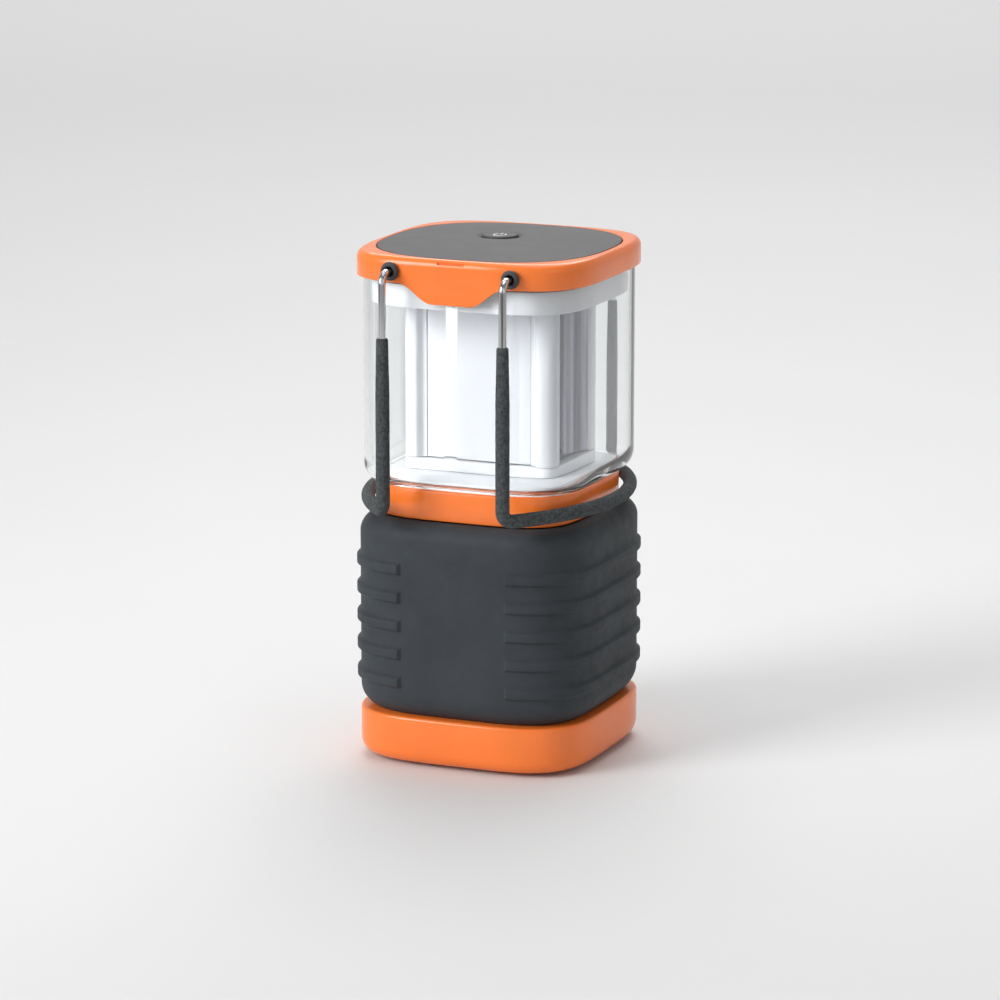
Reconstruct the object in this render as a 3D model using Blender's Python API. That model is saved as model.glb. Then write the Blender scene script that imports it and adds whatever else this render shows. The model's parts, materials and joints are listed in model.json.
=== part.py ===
"""Rechargeable camping lantern with two swing-up carry handles and a slide-out battery pack.

Metres, +Z up, front face towards -Y, origin on the table under the middle of the lantern.
"""

import math

import bmesh
import bpy
from mathutils import Matrix, Vector

MM = 0.001

# ---- driving dimensions -------------------------------------------------------------------------

FIT = 0.3 * MM  # gap between pieces that touch or slide

# Plan outlines: |x|^power + |y|^power = half^power, a square with bowed sides and round corners
BODY_POWER = 4.0
PLATE_POWER = 2.6
PLAN_SIDES = 40

BODY_HALF = 47.8 * MM  # half width of the grip sleeve between its ribs
BODY_HEIGHT = 77.0 * MM
BASE_HEIGHT = 18.5 * MM
COLLAR_HEIGHT = 13.5 * MM
LENS_HEIGHT = 82.2 * MM
CAP_HEIGHT = 10.0 * MM
CROWN = 2.5 * MM  # rise of the top plate above the cap's rim
FOOT_PROUD = 1.5 * MM

BASE_HALF = BODY_HALF
LENS_HALF = BODY_HALF - 1.4 * MM
CAP_HALF = LENS_HALF + 2.0 * MM
COLLAR_HALF = BODY_HALF - 6.6 * MM
PLATE_HALF = CAP_HALF - 3.6 * MM

# Walls
BASE_WALL = 2.6 * MM
BASE_FLOOR = 2.5 * MM
SLEEVE_WALL = 2.2 * MM
HOUSING_WALL = 2.0 * MM
LENS_WALL = 2.0 * MM
COLLAR_WALL = 6.0 * MM
BAY_WALL = 1.8 * MM
PACK_WALL = 1.5 * MM
CAP_DECK = 1.5 * MM
BOARD_THICKNESS = 1.2 * MM

# Grip sleeve
RIB_COUNT = 5
RIB_HEIGHT = 5.1 * MM
RIB_PROUD = 1.4 * MM
RIB_FLANK = 1.0 * MM
RIB_BELOW_TOP = 18.5 * MM  # middle of the top rib below the sleeve's top
RIB_ABOVE_SKIRT = 3.7 * MM  # middle of the bottom rib above the curved skirt
LABEL_HALF = 21.5 * MM  # half width of the plain panels, front and back
SHOULDER_RADIUS = 7.5 * MM
SKIRT_INSET = 4.7 * MM
SKIRT_RISE = 9.7 * MM

# Handles
WIRE_RADIUS = 1.5 * MM
GRIP_RADIUS = 2.75 * MM
GRIP_END_RADIUS = 2.35 * MM
WIRE_BEND = 4.0 * MM
ARM_STANDOFF = 7.7 * MM  # wire centre line outside the cap's widest point
BAR_STANDOFF = 1.0 * MM  # wire centre line outside the sleeve, at the middle of the bar
BAR_ABOVE_SLEEVE = 6.0 * MM
BAR_GAP = 0.6 * MM  # how far each bar would stop short of the middle if raised fully upright
PIVOT_BELOW_RIM = 5.5 * MM
GRIP_BELOW_PIVOT = 24.5 * MM  # bare wire between the pivot and the grip
BUSH_RADIUS = 2.7 * MM
BUSH_FLANGE = 3.6 * MM
BUSH_DEPTH = 1.1 * MM  # how far a bush goes into the cap's wall

# Battery pack
CELL_RADIUS = 9.2 * MM
CELL_SIDE_ROOM = 1.8 * MM
CELL_END_ROOM = 0.5 * MM
CELL_FLOOR = 3.0 * MM  # below the cells, inside the pack
CELL_HEADROOM = 6.7 * MM  # above the cells, to the top of the pack
PACK_BELOW_DECK = 15.7 * MM
PACK_CORNER = 4.0 * MM
PACK_CLEARANCE = 0.5 * MM
CHARGE_PORT = (8.0 * MM, 3.0 * MM, 6.0 * MM)
OUTPUT_PORT = (13.2 * MM, 5.8 * MM, 14.0 * MM)
PORT_WALL = 0.5 * MM
PORT_ROOM = 0.5 * MM

# Light column
COLUMN_HALF_X = COLLAR_HALF - 9.6 * MM
COLUMN_HALF_Y = COLLAR_HALF - 18.2 * MM
POST_RADIUS = 5.0 * MM
POST_WIDTH = 6.2 * MM
VALLEY_WIDTH = 3.9 * MM
PANEL_RECESS = 2.0 * MM
PANEL_THICKNESS = 1.5 * MM
LAMP_DEPTH = 6.8 * MM  # front of the posts to the wall behind the LED board
SIDE_POST = 8.4 * MM
SIDE_RECESS = 4.6 * MM
MIRROR_THICKNESS = 0.8 * MM
PLINTH_HEIGHT = 4.9 * MM
TRAY_THICKNESS = 1.5 * MM
CABLE_HOLE = 12.0 * MM
REFLECTOR_DROP = 10.0 * MM
REFLECTOR_WALL = 1.5 * MM
LED_SIZE = 5.0 * MM
LED_THICKNESS = 1.0 * MM

# Front and back tabs of the cap
TAB_DROP = 7.2 * MM
TAB_FOOT_HALF = 9.5 * MM
TAB_SLOPE = 6.0 * MM
TAB_TOP_HALF = 17.0 * MM

# Power button
BUTTON_RADIUS = 7.0 * MM
STEM_RADIUS = 2.25 * MM
BUTTON_TRAVEL = 1.2 * MM
BUTTON_PROUD = 0.5 * MM
SPRING_WIRE = 0.3 * MM
SPRING_RADIUS = 4.2 * MM
SPRING_TURNS = 2.0

# Fasteners and feet
FOOT_RADIUS = 5.5 * MM
FOOT_POCKET = 1.0 * MM
FOOT_INSET = 18.2 * MM  # centre of a foot inside the base's widest point
SCREW_RADIUS = 1.4 * MM
SCREW_HEAD = 2.8 * MM
SCREW_X = 12.0 * MM
BOSS_RADIUS = 5.0 * MM

# ---- derived positions --------------------------------------------------------------------------

BASE_BOTTOM = FOOT_PROUD
BASE_TOP = BASE_BOTTOM + BASE_HEIGHT
FLOOR_TOP = BASE_BOTTOM + BASE_FLOOR
SLEEVE_BOTTOM = BASE_TOP + FIT
BODY_TOP = BASE_TOP + BODY_HEIGHT
COLLAR_BOTTOM = BODY_TOP + FIT
COLLAR_TOP = BODY_TOP + COLLAR_HEIGHT
LENS_SEAT = 1.5 * MM
LENS_BOTTOM = COLLAR_TOP - LENS_SEAT + FIT
LENS_TOP = LENS_BOTTOM + LENS_HEIGHT
CAP_RIM = LENS_TOP - 1.5 * MM
CAP_TOP = CAP_RIM + CAP_HEIGHT
DECK_TOP = CAP_TOP - 3.5 * MM
DECK_BOTTOM = DECK_TOP - CAP_DECK
PLATE_CROWN = CAP_TOP + CROWN
TRAY_BOTTOM = COLLAR_TOP + FIT
TRAY_TOP = TRAY_BOTTOM + TRAY_THICKNESS
PLINTH_BOTTOM = TRAY_TOP + FIT
PLINTH_TOP = PLINTH_BOTTOM + PLINTH_HEIGHT
COLUMN_BOTTOM = PLINTH_TOP + FIT
CEILING_TOP = CAP_RIM - 1.1 * MM
CEILING_BOTTOM = CEILING_TOP - REFLECTOR_WALL
COLUMN_TOP = CEILING_BOTTOM - FIT

SLEEVE_INNER = BODY_HALF - SLEEVE_WALL
SLEEVE_LIP = BODY_HALF - SKIRT_INSET - 1.8 * MM  # inside of the sleeve's bottom edge
HOUSING_HALF = SLEEVE_INNER - FIT
HOUSING_SKIRT = SLEEVE_LIP - FIT
LIP_HALF = COLLAR_HALF - FIT  # opening of the sleeve under the collar
LENS_INNER = LENS_HALF - LENS_WALL

RIB_LOWEST = SLEEVE_BOTTOM + SKIRT_RISE + RIB_ABOVE_SKIRT
RIB_PITCH = (BODY_TOP - RIB_BELOW_TOP - RIB_LOWEST) / (RIB_COUNT - 1)

BAR_X = BODY_HALF + BAR_STANDOFF
PIVOT_X = (BAR_X + BAR_GAP) / 2
PIVOT_Z = CAP_TOP - PIVOT_BELOW_RIM
ARM_Y = CAP_HALF + ARM_STANDOFF
BAR_Z = BODY_TOP + BAR_ABOVE_SLEEVE
GRIP_TOP = PIVOT_Z - GRIP_BELOW_PIVOT

CELL_SPACING = 2 * (CELL_RADIUS + PORT_ROOM) + OUTPUT_PORT[0]
PACK_HALF_X = CELL_SPACING / 2 + CELL_RADIUS + CELL_END_ROOM + PACK_WALL
PACK_HALF_Y = CELL_RADIUS + CELL_SIDE_ROOM + PACK_WALL
PACK_BOTTOM = FLOOR_TOP + FIT
PACK_TOP = BODY_TOP - FIT - HOUSING_WALL - PACK_BELOW_DECK
CELL_LOW = PACK_BOTTOM + CELL_FLOOR
CELL_HIGH = PACK_TOP - CELL_HEADROOM
BAY_CEILING = PACK_TOP + 3.0 * MM
BAY_TOP = BAY_CEILING + 2.0 * MM
BAY_HALF_X = PACK_HALF_X + PACK_CLEARANCE
BAY_HALF_Y = PACK_HALF_Y + PACK_CLEARANCE
END_PLATE_HALF_X = BAY_HALF_X - FIT
END_PLATE_HALF_Y = BAY_HALF_Y - FIT

FOOT_PLACE = BASE_HALF - FOOT_INSET
SCREW_Y = HOUSING_SKIRT - HOUSING_WALL - BOSS_RADIUS + 0.5 * MM

# ---- helpers ------------------------------------------------------------------------------------


def material(name, colour, roughness, metallic=0.0, alpha=1.0):
    made = bpy.data.materials.new(name)
    made.use_nodes = True
    shader = made.node_tree.nodes["Principled BSDF"]
    shader.inputs["Base Color"].default_value = (*colour, 1.0)
    shader.inputs["Roughness"].default_value = roughness
    shader.inputs["Metallic"].default_value = metallic
    shader.inputs["Alpha"].default_value = alpha
    return made


def bowed_reach(half, angle, power=BODY_POWER):
    """Distance from the middle to the plan outline in one direction."""
    return half / (abs(math.cos(angle)) ** power + abs(math.sin(angle)) ** power) ** (1 / power)


def bowed_square(half, z, power=BODY_POWER, sides=PLAN_SIDES):
    """One level outline of the lantern's plan shape."""
    ring = []
    for i in range(sides):
        angle = 2 * math.pi * (i + 0.5) / sides
        reach = bowed_reach(half, angle, power)
        ring.append(Vector((reach * math.cos(angle), reach * math.sin(angle), z)))
    return ring


def circle(radius, z, sides=16, centre=(0.0, 0.0)):
    ring = []
    for i in range(sides):
        angle = 2 * math.pi * (i + 0.5) / sides
        x = centre[0] + radius * math.cos(angle)
        y = centre[1] + radius * math.sin(angle)
        ring.append(Vector((x, y, z)))
    return ring


def round_box(half_x, half_y, corner, z, centre=(0.0, 0.0), steps=3):
    """One level outline of a rectangle with round corners, steps faces to a corner."""
    ring = []
    for quarter, (sx, sy) in enumerate(((1, 1), (-1, 1), (-1, -1), (1, -1))):
        for i in range(steps + 1):
            angle = math.pi / 2 * (quarter + i / steps)
            x = centre[0] + sx * (half_x - corner) + corner * math.cos(angle)
            y = centre[1] + sy * (half_y - corner) + corner * math.sin(angle)
            ring.append(Vector((x, y, z)))
    return ring


def arc(centre_half, centre_z, radius, start_degrees, end_degrees, steps):
    """(half width, z) points along an arc of a profile."""
    points = []
    for i in range(steps + 1):
        angle = math.radians(start_degrees + (end_degrees - start_degrees) * i / steps)
        points.append((centre_half + radius * math.cos(angle), centre_z + radius * math.sin(angle)))
    return points


def finish(name, mesh, look, smooth_degrees=35):
    data = bpy.data.meshes.new(name)
    mesh.to_mesh(data)
    mesh.free()
    data.shade_smooth()
    data.set_sharp_from_angle(angle=math.radians(smooth_degrees))
    made = bpy.data.objects.new(name, data)
    bpy.context.scene.collection.objects.link(made)
    if look is not None:
        data.materials.append(look)
    return made


def skin(name, rings, look, open_middle=False):
    """A closed solid through rings of equal point counts: flat ends, or a tube joined end to start."""
    mesh = bmesh.new()
    rows = [[mesh.verts.new(point) for point in ring] for ring in rings]
    pairs = list(zip(rows, rows[1:]))
    if open_middle:
        pairs.append((rows[-1], rows[0]))
    else:
        mesh.faces.new(rows[0])
        mesh.faces.new(rows[-1])
    count = len(rows[0])
    for low, high in pairs:
        for i in range(count):
            j = (i + 1) % count
            mesh.faces.new((low[i], low[j], high[j], high[i]))
    bmesh.ops.recalc_face_normals(mesh, faces=mesh.faces)
    return finish(name, mesh, look)


def bowed_profile(name, profile, look, open_middle=False):
    return skin(name, [bowed_square(half, z) for half, z in profile], look, open_middle)


def turned(name, profile, look, sides=16, centre=(0.0, 0.0), open_middle=False):
    return skin(name, [circle(radius, z, sides, centre) for radius, z in profile], look, open_middle)


def turned_along_y(name, profile, look, sides, x, z, open_middle=False):
    """A round piece about an axis along Y through (x, z). The profile lists (radius, y)."""
    rings = []
    for radius, y in profile:
        ring = []
        for i in range(sides):
            angle = 2 * math.pi * i / sides
            ring.append(Vector((x + radius * math.cos(angle), y, z + radius * math.sin(angle))))
        rings.append(ring)
    return skin(name, rings, look, open_middle)


def plate(name, half_x, half_y, corner, low_z, high_z, look, centre=(0.0, 0.0)):
    rings = [round_box(half_x, half_y, corner, z, centre) for z in (low_z, high_z)]
    return skin(name, rings, look)


def block(name, low, high, look):
    mesh = bmesh.new()
    low, high = Vector(low), Vector(high)
    place = Matrix.Translation((low + high) / 2) @ Matrix.Diagonal((*(high - low), 1))
    bmesh.ops.create_cube(mesh, size=1, matrix=place)
    return finish(name, mesh, look)


def upright_sheet(name, outline, low_z, high_z, look):
    """A level outline drawn up to a height."""
    rings = [[Vector((x, y, z)) for x, y in outline] for z in (low_z, high_z)]
    return skin(name, rings, look)


def swept(name, path, sections, look, open_middle=False, sides=8):
    """Round sections along a path. sections lists (path index, radius) in the order they are joined."""
    tangents = []
    for i in range(len(path)):
        before = path[max(i - 1, 0)]
        after = path[min(i + 1, len(path) - 1)]
        tangents.append((after - before).normalized())
    across = [tangents[0].orthogonal().normalized()]
    for before, after in zip(tangents, tangents[1:]):
        across.append((before.rotation_difference(after) @ across[-1]).normalized())
    rings = []
    for index, radius in sections:
        u = across[index]
        v = tangents[index].cross(u)
        ring = []
        for i in range(sides):
            angle = 2 * math.pi * i / sides
            ring.append(path[index] + radius * (u * math.cos(angle) + v * math.sin(angle)))
        rings.append(ring)
    return skin(name, rings, look, open_middle)


def bend(before, corner, after, radius, steps=4):
    """Points round a bend of a wire, in place of its sharp corner."""
    into = (corner - before).normalized()
    out = (after - corner).normalized()
    turn = into.angle(out)
    setback = radius * math.tan(turn / 2)
    start = corner - into * setback
    inward = (out - into * into.dot(out)).normalized()
    points = []
    for i in range(steps + 1):
        part = turn * i / steps
        points.append(start + into * radius * math.sin(part) + inward * radius * (1 - math.cos(part)))
    return points


def combine(target, tool, operation):
    """Cuts a helper from the target, or adds it. The helper stays in the file as a guide."""
    step = target.modifiers.new(tool.name, "BOOLEAN")
    step.operation = operation
    step.solver = "EXACT"
    step.object = tool
    tool.hide_render = True
    tool.display_type = "WIRE"


def hang_on(pieces, name, place):
    """Parents pieces to an empty on their joint's axis, without moving them."""
    axis = bpy.data.objects.new(name, None)
    bpy.context.scene.collection.objects.link(axis)
    axis.location = place
    axis.empty_display_size = 0.01
    for piece in pieces:
        piece.parent = axis
        piece.location = piece.location - Vector(place)


def corners(x, y):
    """Four mirrored positions, each named for its corner."""
    return (
        ("front_left", -x, -y),
        ("front_right", x, -y),
        ("back_left", -x, y),
        ("back_right", x, y),
    )


# ---- materials ----------------------------------------------------------------------------------

RUBBER = material("charcoal_rubber", (0.045, 0.052, 0.058), 0.75)
BLACK_ABS = material("black_abs", (0.02, 0.02, 0.022), 0.5)
DARK_ABS = material("charcoal_abs", (0.075, 0.072, 0.076), 0.5)
ORANGE_ABS = material("orange_abs", (0.85, 0.20, 0.06), 0.3)
CLEAR = material("clear_polycarbonate", (0.92, 0.95, 0.97), 0.05, alpha=0.3)
WHITE = material("white_abs", (0.90, 0.91, 0.93), 0.3)
DIFFUSER = material("milky_diffuser", (0.93, 0.95, 0.98), 0.45)
MIRROR = material("mirrored_sheet", (0.80, 0.80, 0.84), 0.08, metallic=1.0)
STEEL = material("bright_steel", (0.72, 0.72, 0.72), 0.2, metallic=1.0)
FOAM = material("charcoal_foam", (0.055, 0.062, 0.062), 0.9)
WHITE_BOARD = material("white_circuit_board", (0.75, 0.78, 0.76), 0.5)
GREEN_BOARD = material("green_circuit_board", (0.03, 0.22, 0.08), 0.5)
PHOSPHOR = material("yellow_phosphor", (0.95, 0.80, 0.25), 0.4)
BRASS = material("gold_contact", (0.80, 0.62, 0.25), 0.3, metallic=1.0)
CELL_WRAP = material("blue_cell_wrap", (0.05, 0.20, 0.50), 0.4)
RED_WIRE = material("red_wire", (0.70, 0.03, 0.03), 0.5)
BLACK_WIRE = material("black_wire", (0.02, 0.02, 0.02), 0.5)

# ---- base ---------------------------------------------------------------------------------------


def base_ring():
    """Orange base cup with the pack opening, foot pockets and recessed screw holes."""
    inner = BASE_HALF - BASE_WALL
    rim_inner = SLEEVE_LIP + 0.2 * MM
    profile = [
        (BASE_HALF - 4.5 * MM, BASE_BOTTOM),
        (BASE_HALF - 1.4 * MM, BASE_BOTTOM + 2.0 * MM),
        (BASE_HALF, BASE_BOTTOM + 5.5 * MM),
        (BASE_HALF, BASE_TOP - 1.2 * MM),
        (BASE_HALF - 1.2 * MM, BASE_TOP),
        (rim_inner, BASE_TOP),
        (rim_inner, BASE_TOP - 2.2 * MM),
        (inner, BASE_TOP - 5.0 * MM),
        (inner, FLOOR_TOP),
    ]
    made = bowed_profile("base_ring", profile, ORANGE_ABS)
    opening = plate(
        "pack_opening",
        BAY_HALF_X,
        BAY_HALF_Y,
        PACK_CORNER + PACK_CLEARANCE,
        BASE_BOTTOM - 2 * MM,
        FLOOR_TOP + 2 * MM,
        None,
    )
    combine(made, opening, "DIFFERENCE")
    for corner, x, y in corners(FOOT_PLACE, FOOT_PLACE):
        pocket = [(FOOT_RADIUS + FIT, BASE_BOTTOM - 1 * MM), (FOOT_RADIUS + FIT, BASE_BOTTOM + FOOT_POCKET)]
        combine(made, turned("foot_pocket_" + corner, pocket, None, centre=(x, y)), "DIFFERENCE")
    for corner, x, y in corners(SCREW_X, SCREW_Y):
        hole = [
            (SCREW_HEAD + FIT, BASE_BOTTOM - 1 * MM),
            (SCREW_HEAD + FIT, BASE_BOTTOM + 1.4 * MM),
            (SCREW_RADIUS + FIT, BASE_BOTTOM + 1.4 * MM),
            (SCREW_RADIUS + FIT, FLOOR_TOP + 1 * MM),
        ]
        combine(made, turned("base_screw_hole_" + corner, hole, None, 12, (x, y)), "DIFFERENCE")


def feet():
    top = BASE_BOTTOM + FOOT_POCKET - FIT
    for corner, x, y in corners(FOOT_PLACE, FOOT_PLACE):
        profile = [(FOOT_RADIUS - 0.5 * MM, 0.0), (FOOT_RADIUS, 0.5 * MM), (FOOT_RADIUS, top)]
        turned("foot_" + corner, profile, RUBBER, centre=(x, y))


def base_screws():
    head = BASE_BOTTOM + 0.2 * MM
    tip = FLOOR_TOP + 9 * MM
    for corner, x, y in corners(SCREW_X, SCREW_Y):
        profile = [
            (SCREW_HEAD - 0.3 * MM, head),
            (SCREW_HEAD, head + 0.3 * MM),
            (SCREW_HEAD, head + 0.9 * MM),
            (SCREW_RADIUS, head + 0.9 * MM),
            (SCREW_RADIUS, tip - 0.8 * MM),
            (SCREW_RADIUS * 0.4, tip),
        ]
        turned("base_screw_" + corner, profile, STEEL, 12, (x, y))


# ---- housing, sleeve and battery bay ------------------------------------------------------------


def battery_housing():
    """Structural shell under the sleeve: open at the bottom, with a deck under the collar."""
    deck_top = BODY_TOP - FIT
    deck_bottom = deck_top - HOUSING_WALL
    bottom = FLOOR_TOP + FIT
    centre = BODY_HALF - SHOULDER_RADIUS
    centre_z = BODY_TOP - SHOULDER_RADIUS
    outer = arc(centre, centre_z, HOUSING_HALF - centre, 0, 70, 3)
    inner = arc(centre, centre_z, HOUSING_HALF - HOUSING_WALL - centre, 60, 0, 2)
    neck = LIP_HALF - FIT
    profile = [
        (HOUSING_SKIRT, bottom),
        (HOUSING_SKIRT, SLEEVE_BOTTOM + 2.3 * MM),
        (HOUSING_HALF, SLEEVE_BOTTOM + 11.3 * MM),
    ]
    profile += outer
    profile += [(neck, outer[-1][1] + 0.4 * MM), (neck, deck_top)]
    profile += [(CABLE_HOLE, deck_top), (CABLE_HOLE, deck_bottom), (neck - 2.2 * MM, deck_bottom)]
    profile += inner
    profile += [
        (HOUSING_HALF - HOUSING_WALL, SLEEVE_BOTTOM + 11.3 * MM),
        (HOUSING_SKIRT - HOUSING_WALL, SLEEVE_BOTTOM + 2.3 * MM),
        (HOUSING_SKIRT - HOUSING_WALL, bottom),
    ]
    made = bowed_profile("battery_housing", profile, BLACK_ABS, open_middle=True)
    for corner, x, y in corners(SCREW_X, SCREW_Y):
        boss = [(BOSS_RADIUS, bottom), (BOSS_RADIUS, bottom + 14 * MM)]
        combine(made, turned("housing_boss_" + corner, boss, None, centre=(x, y)), "UNION")
        hole = [(SCREW_RADIUS + FIT, bottom - 1 * MM), (SCREW_RADIUS + FIT, bottom + 11 * MM)]
        combine(made, turned("housing_screw_hole_" + corner, hole, None, 12, (x, y)), "DIFFERENCE")


def sleeve_rows():
    """(half width, z, rib share) rows up the outside of the sleeve."""
    rows = [
        (BODY_HALF - SKIRT_INSET, SLEEVE_BOTTOM, 0.0),
        (BODY_HALF - SKIRT_INSET * 0.45, SLEEVE_BOTTOM + SKIRT_RISE * 0.25, 0.0),
        (BODY_HALF - SKIRT_INSET * 0.12, SLEEVE_BOTTOM + SKIRT_RISE * 0.6, 0.0),
        (BODY_HALF, SLEEVE_BOTTOM + SKIRT_RISE, 0.0),
    ]
    for i in range(RIB_COUNT):
        middle = RIB_LOWEST + i * RIB_PITCH
        low = middle - RIB_HEIGHT / 2
        high = middle + RIB_HEIGHT / 2
        rows.append((BODY_HALF, low, 0.0))
        rows.append((BODY_HALF, low + RIB_FLANK, 1.0))
        rows.append((BODY_HALF, high - RIB_FLANK, 1.0))
        rows.append((BODY_HALF, high, 0.0))
    centre = BODY_HALF - SHOULDER_RADIUS
    for half, z in arc(centre, BODY_TOP - SHOULDER_RADIUS, SHOULDER_RADIUS, 0, 75, 4):
        rows.append((half, z, 0.0))
    rows.append((LIP_HALF, BODY_TOP, 0.0))
    return rows


def sleeve_directions():
    """(angle, ribbed) round the sleeve, with a close pair at each end of the ribs."""
    plain = math.atan2(LABEL_HALF, BODY_HALF)
    step = math.atan2(0.75 * MM, BODY_HALF)
    kept = []
    for i in range(PLAN_SIDES):
        angle = 2 * math.pi * (i + 0.5) / PLAN_SIDES
        from_face = min(abs(angle - math.pi / 2), abs(angle - 3 * math.pi / 2))
        if abs(from_face - plain) > 2 * step:
            kept.append((angle, from_face > plain))
    for face in (math.pi / 2, 3 * math.pi / 2):
        for side in (-1, 1):
            kept.append((face + side * (plain - step), False))
            kept.append((face + side * (plain + step), True))
    return sorted(kept)


def grip_sleeve():
    """Rubber sleeve over the housing, with grip ribs round both sides and plain front and back."""
    directions = sleeve_directions()

    def ring(half, z, rib=0.0):
        points = []
        for angle, ribbed in directions:
            reach = bowed_reach(half, angle) + RIB_PROUD * rib * ribbed
            points.append(Vector((reach * math.cos(angle), reach * math.sin(angle), z)))
        return points

    centre = BODY_HALF - SHOULDER_RADIUS
    inner = arc(centre, BODY_TOP - SHOULDER_RADIUS, SLEEVE_INNER - centre, 70, 0, 3)
    rings = [ring(*row) for row in sleeve_rows()]
    rings.append(ring(LIP_HALF, inner[0][1] + 0.4 * MM))
    rings += [ring(half, z) for half, z in inner]
    rings.append(ring(SLEEVE_INNER, SLEEVE_BOTTOM + 11.0 * MM))
    rings.append(ring(SLEEVE_LIP, SLEEVE_BOTTOM + 2.0 * MM))
    rings.append(ring(SLEEVE_LIP, SLEEVE_BOTTOM))
    skin("grip_sleeve", rings, RUBBER, open_middle=True)


def battery_bay():
    """Liner that guides the pack, standing on the base's floor, with a slot above for the contacts."""
    wall = BAY_WALL
    bottom = FLOOR_TOP + FIT
    corner = PACK_CORNER + PACK_CLEARANCE
    slot = (10.0 * MM, 4.0 * MM, 1.0 * MM)
    rings = [
        round_box(BAY_HALF_X + wall, BAY_HALF_Y + wall, corner + wall, bottom),
        round_box(BAY_HALF_X + wall, BAY_HALF_Y + wall, corner + wall, BAY_TOP),
        round_box(*slot, BAY_TOP),
        round_box(*slot, BAY_CEILING),
        round_box(BAY_HALF_X, BAY_HALF_Y, corner, BAY_CEILING),
        round_box(BAY_HALF_X, BAY_HALF_Y, corner, bottom),
    ]
    skin("battery_bay", rings, BLACK_ABS, open_middle=True)


def contact_board():
    """Small board over the bay's slot with two pins that meet the pack's pads."""
    low = BAY_TOP + FIT
    made = plate("contact_board", 16 * MM, 8 * MM, 1 * MM, low, low + BOARD_THICKNESS, GREEN_BOARD)
    for side, x in (("left", -6 * MM), ("right", 6 * MM)):
        pin = [
            (0.8 * MM, PACK_TOP + 1.1 * MM),
            (0.8 * MM, BAY_CEILING - 0.5 * MM),
            (1.5 * MM, BAY_CEILING + 0.5 * MM),
            (1.5 * MM, low + 0.5 * MM),
        ]
        combine(made, turned("contact_pin_" + side, pin, None, 10, (x, 0.0)), "UNION")


# ---- battery pack -------------------------------------------------------------------------------


def pack_case(name, side):
    """One moulded half of the pack's case; side is -1 at the front and 1 at the back."""
    inner = (PACK_HALF_X - PACK_WALL, PACK_HALF_Y - PACK_WALL, PACK_CORNER - PACK_WALL)
    lead = 1.0 * MM
    rings = [
        round_box(PACK_HALF_X, PACK_HALF_Y, PACK_CORNER, PACK_BOTTOM),
        round_box(PACK_HALF_X, PACK_HALF_Y, PACK_CORNER, PACK_TOP - lead),
        round_box(PACK_HALF_X - lead, PACK_HALF_Y - lead, PACK_CORNER - lead, PACK_TOP),
        round_box(3.0 * MM, 1.0 * MM, 0.5 * MM, PACK_TOP),
        round_box(3.0 * MM, 1.0 * MM, 0.5 * MM, PACK_TOP - PACK_WALL),
        round_box(*inner, PACK_TOP - PACK_WALL),
        round_box(*inner, PACK_BOTTOM),
    ]
    made = skin(name, rings, BLACK_ABS, open_middle=True)
    reach = PACK_HALF_X + 5 * MM
    far = -side * reach
    low = (-reach, min(side * FIT / 2, far), PACK_BOTTOM - 5 * MM)
    high = (reach, max(side * FIT / 2, far), PACK_TOP + 5 * MM)
    combine(made, block(name + "_split", low, high, None), "DIFFERENCE")
    return made


def port(name, size, x, y, low):
    """A folded metal socket, open below: (width, depth, height) outside."""
    width, depth, height = size
    outer = [(width / 2, depth / 2), (width / 2 - PORT_WALL, depth / 2 - PORT_WALL)]
    rings = []
    for (half_x, half_y), z in ((outer[0], low), (outer[0], low + height)):
        rings.append(round_box(half_x, half_y, 0.3 * MM, z, (x, y), 1))
    made = skin(name, rings, STEEL)
    half_x, half_y = outer[1]
    mouth = [
        round_box(half_x, half_y, 0.2 * MM, low - 1 * MM, (x, y), 1),
        round_box(half_x, half_y, 0.2 * MM, low + height - PORT_WALL, (x, y), 1),
    ]
    combine(made, skin(name + "_mouth", mouth, None), "DIFFERENCE")
    return made


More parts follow.
